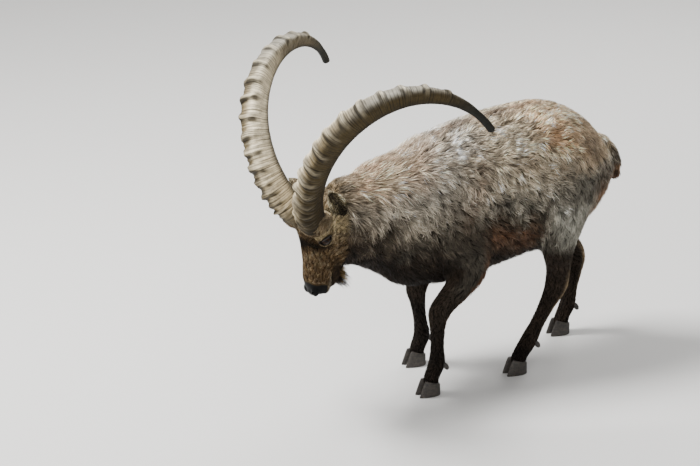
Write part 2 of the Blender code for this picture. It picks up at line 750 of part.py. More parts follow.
def part_head(neck_locks):
    """The head at a finer grain, with eyes in their openings, nostrils, the mouth's line and ears."""
    neck_end = loft("neck_end", NECK, UP, steps=4, sides=24)
    head = fused_smooth("head", [neck_end] + head_forms(), HEAD_VOXEL, 5, HEAD_FACES)
    boolean(head, neck_locks + beard_locks(tree_of(head)), "UNION")
    place = HEAD_CUT + HEAD_CUT_NORMAL * (GAP / 2 - 0.25)
    cutters = [disc("cut", place, HEAD_CUT_NORMAL, 0.5, 0.5), mouth_line()]
    for sign in (-1, 1):
        cutters.append(grown(sphere("socket", eye_centre(sign), EYE_RADIUS)))
        cutters.append(eye_opening(sign))
        nostril = on_head(0.250, -0.018, sign * 0.021)
        inward = FACE - sign * RIGHT * 0.5
        cutters.append(ball("nostril", nostril, inward, BROW, 0.011, 0.0035, 0.0070, 10))
        cutters.append(grown(make_horn("socket", sign)))
        cutters.append(grown(make_ear("socket", sign)))
    for cutter in cutters:
        boolean(head, [cutter], "DIFFERENCE")
    nodes = {"head": largest_shell(head)}
    for side, sign in (("left", -1), ("right", 1)):
        nodes[f"ear_{side}"] = make_ear(f"ear_{side}", sign)
        nodes[f"eye_{side}"] = sphere(f"eye_{side}", eye_centre(sign), EYE_RADIUS)
    return nodes


def horn_line(shares, sign):
    """Places, directions and front normals at shares of one horn's length, from its root to its tip."""
    fine = 400
    place = on_head(0, 0, sign * HORN_BASE_OFFSET)
    line = []
    for i in range(fine + 1):
        s = i / fine
        turn = HORN_RISE + HORN_CURL[0] * s + HORN_CURL[1] * s**2 + HORN_CURL[2] * s**3
        out = HORN_SPREAD[0] + HORN_SPREAD[1] * s + HORN_SPREAD[2] * s**2
        along = (math.cos(turn) * BROW - math.sin(turn) * FACE + sign * out * RIGHT).normalized()
        front = math.sin(turn) * BROW + math.cos(turn) * FACE
        line.append((place.copy(), along, front))
        place = place + along * (HORN_LENGTH / fine)
    found = []
    for s in shares:
        k = min(max(round(s * fine), 0), fine)
        place, along, front = line[k]
        found.append((place + along * (s - k / fine) * HORN_LENGTH, along, front))
    return found


def knob_places():
    """Where the knobs stand along a horn, each with the distance to the nearest other."""
    spots = [KNOB_START + (KNOB_END - KNOB_START) * (k / (KNOBS - 1)) ** KNOB_CROWDING for k in range(KNOBS)]
    steps = [b - a for a, b in zip(spots, spots[1:])]
    return list(zip(spots, [steps[0]] + steps))


def make_horn(name, sign):
    """One horn, with a row of knobs across its broad front. Its root is sunk in the head."""
    shares = [-HORN_SUNK / HORN_LENGTH, 0.012]
    for middle, pitch in knob_places():
        shares += [middle - 0.30 * pitch, middle, middle + 0.32 * pitch]
    shares += [KNOB_END + (1 - KNOB_END) * t for t in (0.25, 0.4, 0.55, 0.7, 0.82, 0.92, 0.98)]
    rings = []
    for i, (place, along, front) in enumerate(horn_line(shares, sign)):
        s = max(shares[i], 0)
        taper = max((1 - s**3) ** 0.75, 0.09) * (0.78 if i == 0 else 1.0)
        flat = 1 - TIP_FLATTER * min(max((s - 0.5) / 0.35, 0), 1)
        on_knob = i % 3 == 0 and 2 < i < 3 * KNOBS + 2
        knob = KNOB_HEIGHT * min(1, 0.6 + 2.5 * s) * (1 - 0.6 * s) if on_knob else 0.0
        across = along.cross(front).normalized()
        ring = []
        for j in range(12):
            turn = 2 * math.pi * (j + 0.5) / 12
            c, sn = math.cos(turn), math.sin(turn)
            wide = math.copysign(abs(c) ** 0.72, c) * (1.06 if sn > 0 else 0.90) * HORN_HALF_WIDTH * taper
            deep = math.copysign(abs(sn) ** 0.80, sn) * HORN_HALF_DEPTH * taper * flat
            if sn > 0:
                deep += knob * sn
                wide += math.copysign(knob * 0.35, c)
            ring.append(place + across * wide + front * deep)
        rings.append(ring)
    tip, along, front = horn_line([1.0], sign)[0]
    return rings_to_object(name, rings, None, tip + along * 0.004)


def make_claw(name, leg, sign):
    """One claw: a flat sole on the floor, a sloped front wall and a top that follows the coronet."""
    coronet, slope = coronet_plane(leg)
    rings = []
    for level in (0.0, 0.12, 0.55, 1.0):
        ring = []
        for j in range(14):
            turn = 2 * math.pi * j / 14
            c, s = math.cos(turn), math.sin(turn)
            half = CLAW_HALF_WIDTH * (1 - 0.10 * level) * (0.96 if level == 0 else 1.0)
            reach = CLAW_FRONT * (1 - 0.42 * level) if c > 0 else CLAW_BACK * (1 - 0.05 * level)
            ahead = c * reach
            pointed = half * (1 - 0.35 * max(c, 0) ** 2)
            inward = 0.35 if s * sign < 0 else 1.0
            x = coronet.x - ahead
            y = coronet.y + sign * CLAW_APART + s * pointed * (0.8 + 0.2 * inward)
            top = CLAW_HEIGHT + CORONET_SLOPE * (coronet.x - x)
            ring.append(Vector((x, y, top * level)))
        rings.append(ring)
    return rings_to_object(name, rings)


def add_dewclaws(leg_node, leg):
    """Two small claws behind the fetlock."""
    rows = LEGS[leg]
    fetlock = Vector(rows[-3][:3])
    forms = []
    for sign in (-1, 1):
        place = fetlock + Vector((rows[-3][5] - 0.004, sign * 0.014, -0.012))
        forms.append(ball("dewclaw", place, Vector((0.55, 0, -0.83)), UP, 0.015, 0.0085, 0.0085, 6))
    return boolean(leg_node, forms, "UNION")


def paint(node, colour, roughness):
    material = bpy.data.materials.new(node.name)
    material.use_nodes = True
    shader = material.node_tree.nodes["Principled BSDF"]
    shader.inputs["Base Color"].default_value = (*colour, 1)
    shader.inputs["Roughness"].default_value = roughness
    node.data.materials.clear()
    node.data.materials.append(material)


def colour_of(name):
    """A node's plain colour and roughness, from what it is."""
    if name.startswith("horn"):
        return (0.33, 0.28, 0.21), 0.6
    if name.startswith("claw"):
        return (0.035, 0.03, 0.027), 0.5
    if name.startswith("eye"):
        return (0.03, 0.018, 0.01), 0.15
    if name.startswith(("leg", "tail")):
        return (0.06, 0.045, 0.035), 0.9
    if name.startswith(("head", "ear")):
        return (0.27, 0.20, 0.14), 0.9
    return (0.24, 0.19, 0.145), 0.9


def settle(nodes):
    """Moves every node so that the middle of the whole stands over the origin."""
    low = Vector([min(v.co[k] for n in nodes.values() for v in n.data.vertices) for k in range(3)])
    high = Vector([max(v.co[k] for n in nodes.values() for v in n.data.vertices) for k in range(3)])
    shift = Matrix.Translation((-(low.x + high.x) / 2, -(low.y + high.y) / 2, -low.z))
    for node in nodes.values():
        node.data.transform(shift)


def main():
    clear_scene()
    nodes, neck_locks = part_body()
    nodes["tail"] = make_tail()
    nodes.update(part_head(neck_locks))
    for side, sign in (("left", -1), ("right", 1)):
        nodes[f"horn_{side}"] = make_horn(f"horn_{side}", sign)
    for leg in LEGS:
        add_dewclaws(nodes[f"leg_{leg}_lower"], leg)
        outward = -1 if leg.endswith("left") else 1
        for part, sign in (("outer", outward), ("inner", -outward)):
            name = f"claw_{leg}_{part}"
            nodes[name] = make_claw(name, leg, sign)
    for name, node in nodes.items():
        node.name = name
        paint(node, *colour_of(name))
    settle(nodes)


main()
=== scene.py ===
# %% [markdown]
# # An alpine ibex in its coat
# The solids of the animal are already there, at life size. They say where every part of it ends.
# Here the animal gets what makes it look alive: a skin in one piece, horns with their knobs and
# growth rings, dark eyes between lids, hooves, and a coat of many thousand small tufts.
#
# The solids are loaded first and are never moved. Everything new is fitted to them.

# %% Load the solids
import math
import time

import bmesh
import bpy
import numpy as np
from mathutils import Matrix, Vector
from mathutils.bvhtree import BVHTree
from mathutils.kdtree import KDTree


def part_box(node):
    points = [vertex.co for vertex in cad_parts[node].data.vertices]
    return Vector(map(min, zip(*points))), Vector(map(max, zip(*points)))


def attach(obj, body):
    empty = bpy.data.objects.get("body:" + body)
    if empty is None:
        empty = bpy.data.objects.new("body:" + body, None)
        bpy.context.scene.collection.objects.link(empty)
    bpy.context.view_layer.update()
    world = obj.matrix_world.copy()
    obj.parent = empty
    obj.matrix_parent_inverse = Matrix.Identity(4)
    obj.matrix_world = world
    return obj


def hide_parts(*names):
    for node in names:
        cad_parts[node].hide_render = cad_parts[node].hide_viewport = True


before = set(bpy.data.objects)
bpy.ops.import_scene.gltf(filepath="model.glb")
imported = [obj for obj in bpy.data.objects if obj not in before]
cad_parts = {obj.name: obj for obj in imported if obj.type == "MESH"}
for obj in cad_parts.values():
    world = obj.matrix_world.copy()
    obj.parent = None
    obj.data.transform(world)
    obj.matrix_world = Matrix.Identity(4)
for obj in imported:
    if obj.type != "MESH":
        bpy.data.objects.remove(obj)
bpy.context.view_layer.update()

started = time.time()


def after():
    """How long the script has run, for the lines that it prints."""
    return f"after {time.time() - started:.1f} s"


bpy.ops.object.select_all(action="DESELECT")

# %% [markdown]
# ## The head's own axes
# The head is bowed and turned a little to its left, so its sizes are easiest to give in its own
# directions: down the face to the nose, out of the forehead, and to the right. The solids stand
# with their middle over the origin. The left eye tells how far they were moved to get there.

# %% Axes and places of the head
UP = Vector((0, 0, 1))
FORWARD = Vector((-1, 0, 0))
HEAD_YAW = math.radians(10.5)
FACE_PITCH = math.radians(92)
HEAD_ROLL = math.radians(-3)
HORN_ROOT = Vector((-0.503, -0.090, 0.670))
EYE_PLACE = (0.060, -0.034, 0.056)
EYE_RADIUS = 0.0175
EYE_OPEN = (0.0215, 0.0088)


def head_axes():
    """The way down the face, the way the forehead looks, and the animal's right."""
    ahead = Vector((-math.cos(HEAD_YAW), -math.sin(HEAD_YAW), 0))
    right = Vector((-math.sin(HEAD_YAW), math.cos(HEAD_YAW), 0))
    down_face = math.cos(FACE_PITCH) * ahead - math.sin(FACE_PITCH) * UP
    brow = math.sin(FACE_PITCH) * ahead + math.cos(FACE_PITCH) * UP
    side = math.cos(HEAD_ROLL) * right + math.sin(HEAD_ROLL) * brow
    brow = math.cos(HEAD_ROLL) * brow - math.sin(HEAD_ROLL) * right
    return down_face, brow, side


FACE, BROW, RIGHT = head_axes()
SIDES = (("left", -1), ("right", 1))


def on_head(down, brow, side):
    return HORN_ROOT + down * FACE + brow * BROW + side * RIGHT


def eye_centre(sign):
    return on_head(EYE_PLACE[0], EYE_PLACE[1], sign * EYE_PLACE[2])


eye_low, eye_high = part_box("eye_left")
SHIFT = (eye_low + eye_high) / 2 - eye_centre(-1)
print("the solids stand", [round(v, 4) for v in SHIFT], "from where they were drawn")

# %% [markdown]
# ## The camera, the floor and the light
# The camera looks at the animal's left side from the front and from a little above, through a long
# lens from seven and a half metres away, as at a shy animal. It comes first, so that each piece can
# be judged through it. The light is that of a bright overcast day: one wide lamp high above and a
# little behind the animal, a soft sky all round, and weaker lamps that open the shadows. The floor
# bends up into a wall far away on every side, so that no view shows where it ends.

# %% Camera
AIM = Vector((-0.30, 0.0, 0.555))
CAMERA_AZIMUTH = math.radians(-28)
CAMERA_HEIGHT = math.radians(21)
CAMERA_DISTANCE = 7.5
LENS_MM = 123.4


def place_camera():
    back = Vector((
        math.sin(CAMERA_AZIMUTH) * math.cos(CAMERA_HEIGHT),
        -math.cos(CAMERA_AZIMUTH) * math.cos(CAMERA_HEIGHT),
        math.sin(CAMERA_HEIGHT),
    ))
    bpy.ops.object.camera_add(location=AIM + SHIFT + back * CAMERA_DISTANCE)
    camera = bpy.context.object
    camera.name = "camera"
    camera.rotation_euler = (-back).to_track_quat("-Z", "Y").to_euler()
    camera.data.lens = LENS_MM
    camera.data.sensor_width = 36.0
    camera.data.clip_end = 100
    bpy.context.scene.camera = camera


place_camera()

# %% Floor, sky and lamps
FLOOR_REACH = 9.0
BEND = 4.0
WALL_TOP = 7.0
FLOOR_GAP = 0.0004
LAMPS = {
    # where it stands, its size and its power
    "key": ((-2.3, 1.3, 5.0), 1.9, 760),
    "fill": ((-3.6, -4.8, 3.4), 3.2, 170),
    "rim": ((3.8, 2.4, 3.6), 2.4, 170),
}
FLOOR_TONE = (0.60, 0.59, 0.57)
SKY_TONE = (0.97, 0.98, 1.0)
SKY_STRENGTH = 0.55


def plain_material(name, tone, roughness):
    """A material with one shader, ready for its nodes."""
    material = bpy.data.materials.new(name)
    material.use_nodes = True
    shader = material.node_tree.nodes["Principled BSDF"]
    shader.inputs["Base Color"].default_value = (*tone, 1)
    shader.inputs["Roughness"].default_value = roughness
    return material, shader


def lay_floor():
    """A round floor whose edge bends up into a wall."""
    profile = [(FLOOR_REACH * share, 0) for share in (0.1, 0.4, 0.7, 1.0)]
    turns = [math.pi / 2 * k / 10 for k in range(1, 11)]
    profile += [(FLOOR_REACH + BEND * math.sin(turn), BEND * (1 - math.cos(turn))) for turn in turns]
    profile.append((FLOOR_REACH + BEND, WALL_TOP))
    bpy.ops.mesh.primitive_circle_add(vertices=96, radius=profile[0][0], fill_type="NGON", location=(0, 0, 0))
    floor = bpy.context.object
    floor.name = "floor"
    edit = bmesh.new()
    edit.from_mesh(floor.data)
    for (inner, _), (outer, high) in zip(profile, profile[1:]):
        rim = [edge for edge in edit.edges if edge.is_boundary]
        wider = bmesh.ops.extrude_edge_only(edit, edges=rim)["geom"]
        for point in (part for part in wider if isinstance(part, bmesh.types.BMVert)):
            point.co = Vector((point.co.x * outer / inner, point.co.y * outer / inner, high))
    for face in edit.faces:
        face.smooth = True
    bmesh.ops.recalc_face_normals(edit, faces=edit.faces)
    edit.to_mesh(floor.data)
    edit.free()
    floor.data.transform(Matrix.Translation((0, 0, -FLOOR_GAP)))
    material, _ = plain_material("floor", FLOOR_TONE, 0.85)
    floor.data.materials.append(material)


def hang_lamps():
    for name, (place, size, power) in LAMPS.items():
        bpy.ops.object.light_add(type="AREA", location=place)
        lamp = bpy.context.object
        lamp.name = name
        lamp.data.size = size
        lamp.data.energy = power
        lamp.rotation_euler = (Vector((0, 0, 0.5)) - Vector(place)).to_track_quat("-Z", "Y").to_euler()
    world = bpy.data.worlds.new("sky")
    world.use_nodes = True
    sky = world.node_tree.nodes["Background"]
    sky.inputs["Color"].default_value = (*SKY_TONE, 1)
    sky.inputs["Strength"].default_value = SKY_STRENGTH
    bpy.context.scene.world = world


lay_floor()
hang_lamps()

# %% [markdown]
# ## The body's rows
# A body is a few tubes that run into each other. Each tube follows a row of rings, and a ring is its
# centre, its half width and its reach to the two other sides. These are the rings of the solids,
# so the skin that is made from them ends where the solids say.

# %% Rows of rings
TORSO = [
    (-0.175, -0.006, 0.545, 0.090, 0.130, 0.120),
    (-0.120, -0.004, 0.570, 0.135, 0.195, 0.195),
    (-0.050, 0.0, 0.580, 0.158, 0.232, 0.238),
    (0.030, 0.0, 0.590, 0.170, 0.253, 0.248),
    (0.120, 0.0, 0.605, 0.182, 0.258, 0.245),
    (0.220, 0.0, 0.622, 0.196, 0.255, 0.238),
    (0.320, 0.0, 0.634, 0.200, 0.252, 0.236),
    (0.410, 0.0, 0.644, 0.190, 0.241, 0.240),
    (0.490, 0.0, 0.642, 0.172, 0.204, 0.206),
    (0.553, 0.0, 0.636, 0.146, 0.154, 0.148),
    (0.594, 0.0, 0.632, 0.118, 0.112, 0.100),
    (0.622, 0.0, 0.628, 0.080, 0.072, 0.064),
]
NECK = [
    (0.010, 0.0, 0.590, 0.150, 0.215, 0.215),
    (-0.090, -0.006, 0.580, 0.146, 0.220, 0.232),
    (-0.180, -0.022, 0.588, 0.132, 0.206, 0.182),
    (-0.260, -0.044, 0.597, 0.116, 0.190, 0.142),
    (-0.330, -0.064, 0.606, 0.100, 0.163, 0.118),
    (-0.395, -0.080, 0.612, 0.080, 0.170, 0.120),
]
TAIL = [
    (0.600, 0.0, 0.722, 0.026, 0.020, 0.022),
    (0.634, 0.0, 0.704, 0.027, 0.019, 0.022),
    (0.664, 0.0, 0.668, 0.027, 0.018, 0.021),
    (0.680, 0.0, 0.626, 0.025, 0.016, 0.019),
    (0.686, 0.0, 0.586, 0.016, 0.011, 0.013),
]
LEGS = {
    "front_left": [
        (-0.005, -0.085, 0.640, 0.062, 0.110, 0.110),
        (0.010, -0.112, 0.550, 0.066, 0.112, 0.112),
        (0.055, -0.132, 0.470, 0.056, 0.092, 0.080),
        (0.056, -0.134, 0.412, 0.047, 0.060, 0.058),
        (0.012, -0.130, 0.350, 0.040, 0.046, 0.046),
        (-0.028, -0.126, 0.308, 0.036, 0.038, 0.038),
        (-0.046, -0.123, 0.276, 0.035, 0.037, 0.036),
        (-0.049, -0.120, 0.232, 0.027, 0.027, 0.028),
        (-0.049, -0.118, 0.165, 0.023, 0.022, 0.025),
        (-0.050, -0.116, 0.105, 0.027, 0.026, 0.032),
        (-0.064, -0.116, 0.066, 0.026, 0.026, 0.027),
        (-0.068, -0.116, 0.040, 0.027, 0.029, 0.027),
    ],
    "front_right": [
        (0.015, 0.085, 0.640, 0.062, 0.110, 0.110),
        (0.035, 0.112, 0.550, 0.066, 0.112, 0.110),
        (0.085, 0.128, 0.470, 0.056, 0.110, 0.078),
        (0.086, 0.128, 0.412, 0.047, 0.085, 0.056),
        (0.054, 0.122, 0.345, 0.040, 0.062, 0.046),
        (0.020, 0.118, 0.300, 0.036, 0.038, 0.038),
        (0.006, 0.115, 0.266, 0.035, 0.037, 0.036),
        (0.010, 0.113, 0.222, 0.027, 0.027, 0.028),
        (0.018, 0.112, 0.160, 0.023, 0.022, 0.025),
        (0.024, 0.111, 0.102, 0.027, 0.026, 0.032),
        (0.012, 0.111, 0.066, 0.026, 0.026, 0.027),
        (0.008, 0.111, 0.040, 0.027, 0.029, 0.027),
    ],
    "rear_left": [
        (0.480, -0.070, 0.720, 0.085, 0.120, 0.098),
        (0.445, -0.105, 0.620, 0.086, 0.125, 0.092),
        (0.400, -0.132, 0.520, 0.070, 0.096, 0.082),
        (0.385, -0.134, 0.430, 0.052, 0.056, 0.064),
        (0.398, -0.122, 0.352, 0.038, 0.040, 0.046),
        (0.396, -0.114, 0.286, 0.034, 0.038, 0.044),
        (0.372, -0.109, 0.232, 0.028, 0.027, 0.032),
        (0.338, -0.106, 0.168, 0.024, 0.023, 0.026),
        (0.302, -0.104, 0.105, 0.028, 0.026, 0.032),
        (0.276, -0.104, 0.066, 0.026, 0.026, 0.027),
        (0.266, -0.104, 0.040, 0.027, 0.029, 0.027),
    ],
    "rear_right": [
        (0.480, 0.070, 0.720, 0.085, 0.120, 0.096),
        (0.458, 0.105, 0.610, 0.086, 0.125, 0.092),
        (0.464, 0.130, 0.505, 0.070, 0.105, 0.068),
        (0.520, 0.130, 0.415, 0.050, 0.060, 0.052),
        (0.582, 0.122, 0.335, 0.038, 0.040, 0.042),
        (0.617, 0.114, 0.272, 0.034, 0.038, 0.042),
        (0.614, 0.109, 0.222, 0.028, 0.027, 0.031),
        (0.602, 0.108, 0.160, 0.024, 0.023, 0.026),
        (0.590, 0.107, 0.104, 0.028, 0.026, 0.032),
        (0.574, 0.107, 0.066, 0.026, 0.026, 0.027),
        (0.568, 0.107, 0.040, 0.027, 0.029, 0.027),
    ],
}
# Down the face, towards the forehead, half width, reach to the forehead and reach to the jaw
SKULL = [
    (-0.060, -0.070, 0.040, 0.030, 0.040),
    (-0.030, -0.066, 0.060, 0.062, 0.068),
    (0.010, -0.066, 0.067, 0.088, 0.084),
    (0.045, -0.067, 0.067, 0.089, 0.086),
    (0.080, -0.064, 0.062, 0.079, 0.082),
    (0.115, -0.058, 0.054, 0.069, 0.070),
    (0.150, -0.051, 0.046, 0.061, 0.067),
    (0.185, -0.046, 0.042, 0.056, 0.060),
    (0.215, -0.043, 0.041, 0.051, 0.050),
    (0.240, -0.042, 0.035, 0.040, 0.037),
]
SKULL_ROWS = [(*on_head(down, middle, 0), half, front, back) for down, middle, half, front, back in SKULL]

# %% [markdown]
# ## From rings to a form
# A loft joins ring to ring. Between two rows the shape runs on a smooth curve, so that a few rows
# are enough. An egg, which is a sphere added and stretched, gives the round forms: a cheek, a brow,
# a lip. All these are joined, and a voxel remesh melts them into one skin, which a smoothing then
# settles where the forms meet.

# %% Helpers for lofts, eggs and finished modifiers


def between(rows, share):
    """A row at a share of the way along, on a smooth curve through the rows."""
    rows = np.asarray(rows, float)
    at = min(max(share, 0.0), 1.0) * (len(rows) - 1)
    k = min(int(at), len(rows) - 2)
    t = at - k
    b, c = rows[k], rows[k + 1]
    a = rows[k - 1] if k > 0 else 2 * b - c
    d = rows[k + 2] if k + 2 < len(rows) else 2 * c - b
    return 0.5 * (2 * b + (c - a) * t + (2 * a - 5 * b + 4 * c - d) * t**2 + (3 * b - a - 3 * c + d) * t**3)


def ring_at(centre, along, ahead, half_width, front, back, sides, square=2.0):
    """Points of one ring. The front and back reaches lie along the part of ahead that is square to along."""
    along = along.normalized()
    ahead = (ahead - ahead.dot(along) * along).normalized()
    across = along.cross(ahead)
    ring = []
    for j in range(sides):
        turn = 2 * math.pi * j / sides
        c, s = math.cos(turn), math.sin(turn)
        wide = math.copysign(abs(c) ** (2 / square), c) * half_width
        deep = math.copysign(abs(s) ** (2 / square), s) * (front if s > 0 else back)
        ring.append(centre + wide * across + deep * ahead)
    return ring


def only(*things):
    """Selects these objects and nothing else. The first one is active."""
    bpy.ops.object.select_all(action="DESELECT")
    for thing in things:
        thing.select_set(True)
    bpy.context.view_layer.objects.active = things[0]


def mesh_object(name, points, faces):
    """An object from points and faces. All its faces are turned to look outward."""
    mesh = bpy.data.meshes.new(name)
    mesh.from_pydata([tuple(p) for p in points], [], faces)
    made = bpy.data.objects.new(name, mesh)
    bpy.context.scene.collection.objects.link(made)
    only(made)
    bpy.ops.object.mode_set(mode="EDIT")
    bpy.ops.mesh.select_all(action="SELECT")
    bpy.ops.mesh.normals_make_consistent(inside=False)
    bpy.ops.object.mode_set(mode="OBJECT")
    return made


def rings_to_object(name, rings, start=None, end=None):
    """A closed body from rings of equal count, with a point or a flat face at each end."""
    count = len(rings[0])
    points = [p for ring in rings for p in ring]
    faces = []
    for i in range(len(rings) - 1):
        for j in range(count):
            k = (j + 1) % count
            faces.append((i * count + j, i * count + k, (i + 1) * count + k, (i + 1) * count + j))
    last = (len(rings) - 1) * count
    for first, tip, order in ((0, start, 1), (last, end, -1)):
        ring = list(range(first, first + count))[::order]
        if tip is None:
            faces.append(tuple(ring))
        else:
            points.append(tip)
            faces += [(len(points) - 1, ring[j], ring[(j + 1) % count]) for j in range(count)]
    return mesh_object(name, points, faces)


def loft(name, rows, ahead, steps=4, sides=28, square=2.0, cap=0.6):
    """A closed body along rows of x, y, z, half width, front reach and back reach, with rounded ends."""
    count = (len(rows) - 1) * steps + 1
    dense = [between(rows, i / (count - 1)).tolist() for i in range(count)]
    places = [Vector(row[:3]) for row in dense]
    rings = []
    for i, row in enumerate(dense):
        along = places[min(i + 1, count - 1)] - places[max(i - 1, 0)]
        rings.append(ring_at(places[i], along, ahead, *row[3:], sides, square))
    ends = []
    for i, step in ((0, -1), (count - 1, 1)):
        along = (places[min(i + 1, count - 1)] - places[max(i - 1, 0)]).normalized() * step
        reach = cap * min(dense[i][3:6])
        for turn in (0.5, 1.0):
            centre = places[i] + along * reach * math.sin(turn)
            sizes = [size * math.cos(turn) for size in dense[i][3:]]
            ring = ring_at(centre, along * step, ahead, *sizes, sides, square)
            rings.insert(0 if step < 0 else len(rings), ring)
        ends.append(places[i] + along * reach)
    return rings_to_object(name, rings, ends[0], ends[1])


def egg(name, centre, along, ahead, reach, across, depth):
    """A sphere stretched to its reach along, its half width across and its half depth ahead."""
    bpy.ops.mesh.primitive_uv_sphere_add(segments=24, ring_count=16, radius=1)
    made = bpy.context.object
    made.name = name
    along = along.normalized()
    ahead = (ahead - ahead.dot(along) * along).normalized()
    axes = Matrix((along.cross(ahead) * across, ahead * depth, along * reach)).transposed().to_4x4()
    made.data.transform(Matrix.Translation(centre) @ axes)
    if axes.determinant() < 0:
        made.data.flip_normals()
    return made


def modify(thing, kind, **settings):
    """Adds a modifier, sets it up and applies it."""
    only(thing)
    modifier = thing.modifiers.new(kind.lower(), kind)
    for name, value in settings.items():
        setattr(modifier, name, value)
    bpy.ops.object.modifier_apply(modifier=modifier.name)
    return thing


def melt(name, things, voxel, rounds):
    """Overlapping forms made one even skin and smoothed where they meet."""
    only(*things)
    bpy.ops.object.join()
    made = bpy.context.object
    made.name = name
    modify(made, "REMESH", mode="VOXEL", voxel_size=voxel)
    return modify(made, "SMOOTH", factor=0.5, iterations=rounds)


def cut(thing, tool, operation="DIFFERENCE"):
    """Cuts a tool from a thing, or adds it, and removes the tool. Both are closed, as this solver asks."""
    modify(thing, "BOOLEAN", operation=operation, object=tool, solver="MANIFOLD")
    bpy.data.objects.remove(tool)
    return thing


def numbers(thing):
    """The points and point normals of a mesh as two arrays."""
    count = len(thing.data.vertices)
    points = np.empty(count * 3, np.float32)
    normals = np.empty(count * 3, np.float32)
    thing.data.vertices.foreach_get("co", points)
    thing.data.vertex_normals.foreach_get("vector", normals)
    return points.reshape(-1, 3).astype(float), normals.reshape(-1, 3).astype(float)


def move_points(thing, points):
    thing.data.vertices.foreach_set("co", points.astype(np.float32).ravel())
    thing.data.update()


# %% [markdown]
# ## Which part of the body is this?
# The coat is long on the neck and fine on the face, and its colours differ from part to part. So
# each point of the skin asks every tube how near it is, counted in the tube's own reaches. The
# answers become shares that add up to one and run softly from part to part. The ears stand away
# from the head, so each is a straight line of its own.

# %% Regions
EAR_LENGTH = 0.122
EAR_HALF_WIDTH = 0.027
EAR_ROOT = (-0.014, -0.097, 0.068)
EAR_WAYS = {-1: (-0.76, 0.55, 0.20), 1: (-0.74, 0.74, 0.28)}
EAR_LOOK = (-0.20, 0.50, 0.80)
REGION_ROWS = {"trunk": TORSO, "neck": NECK, "head": SKULL_ROWS, "tail": TAIL, **LEGS}
REGIONS = list(REGION_ROWS) + ["ear_left", "ear_right"]
LINE_STEPS = 64
SHARPNESS = 9.0


def smooth(values, low, high):
    """0 below low, 1 above high, and a soft step between them."""
    t = np.clip((np.asarray(values, float) - low) / (high - low), 0, 1)
    return t * t * (3 - 2 * t)


def hump(values, middle, reach):
    """1 at the middle, and falling softly to 0 either side of it."""
    return np.exp(-(((np.asarray(values, float) - middle) / reach) ** 2))


def ear_axes(sign):
    """The root of an ear, the way it points, the way its cup looks, and the way across it."""
    root = on_head(EAR_ROOT[0], EAR_ROOT[1], sign * EAR_ROOT[2])
    down, ahead, aside = EAR_WAYS[sign]
    along = (FACE * down + BROW * ahead + sign * RIGHT * aside).normalized()
    look = FACE * EAR_LOOK[0] + BROW * EAR_LOOK[1] + sign * RIGHT * EAR_LOOK[2]
    look = (look - look.dot(along) * along).normalized()
    return root, along, look, along.cross(look)


def face_places(points):
    """How far down the face, towards the forehead and to the side each point lies."""
    away = points - np.array(HORN_ROOT)
    return away @ np.array(FACE), away @ np.array(BROW), away @ np.array(RIGHT)


def near_line(points, rows):
    """How many of its own reaches each point lies from a tube's middle line, and the share along it."""
    line = np.array([between(rows, t) for t in np.linspace(0, 1, LINE_STEPS)])
    reach = line[:, 3:6].mean(1)
    squares = (points**2).sum(1)[:, None] + (line[:, :3] ** 2).sum(1) - 2 * points @ line[:, :3].T
    distance = np.sqrt(np.maximum(squares, 0)) / reach
    nearest = distance.argmin(1)
    return distance[np.arange(len(points)), nearest], nearest / (LINE_STEPS - 1)


def regions_of(points):
    """Each region's share at each point, and how far down its tube the point lies."""
    distances, shares = [], {}
    for name, rows in REGION_ROWS.items():
        distance, shares[name] = near_line(points, rows)
        distances.append(distance)
    for side, sign in SIDES:
        root, along, look, across = ear_axes(sign)
        away = points - np.array(root)
        t = away @ np.array(along) / EAR_LENGTH
        off = np.abs(away @ np.array(look)) + 0.6 * np.abs(away @ np.array(across))
        off = off / EAR_HALF_WIDTH + 6 * np.maximum(0.10 - t, 0) + 6 * np.maximum(t - 1.05, 0)
        distances.append(off * 0.75)
        shares[f"ear_{side}"] = np.clip(t, 0, 1)
    distances = np.array(distances)
    down, brow, _ = face_places(points)
    distances[REGIONS.index("neck")] += 1.1 * smooth(brow, -0.122, -0.078) * smooth(down, -0.060, 0.0)
    weights = np.exp(-SHARPNESS * (distances - distances.min(0)))
    weights /= weights.sum(0)
    return dict(zip(REGIONS, weights)), shares


# %% [markdown]
# ## The skin
# The skin lies under the coat, so each point of it sits the coat's depth inside the solids: a thumb's
# breadth on the trunk, half a pencil on the face. The head is remeshed at a finer grain than the
# body, because lids, lips and nostrils need it. The two are then made one by a union, and so are
# the ears and the tail.

# %% Muscles pressed in or out of the body
# A place, the size of the dent and how far it moves the skin. Each stands on both sides.
BODY_PRESSES = [
    ((0.105, 0.165, 0.70), 0.050, -0.0050),
    ((0.120, 0.180, 0.56), 0.055, -0.0050),
    ((0.015, 0.170, 0.555), 0.060, 0.0050),
    ((-0.080, 0.135, 0.740), 0.040, 0.0040),
    ((-0.125, 0.150, 0.560), 0.050, 0.0040),
    ((0.355, 0.185, 0.720), 0.060, -0.0080),
    ((0.405, 0.120, 0.855), 0.035, 0.0060),
    ((0.560, 0.100, 0.745), 0.030, 0.0040),
    ((0.490, 0.165, 0.640), 0.080, 0.0050),
    ((0.330, 0.170, 0.480), 0.050, -0.0040),
]
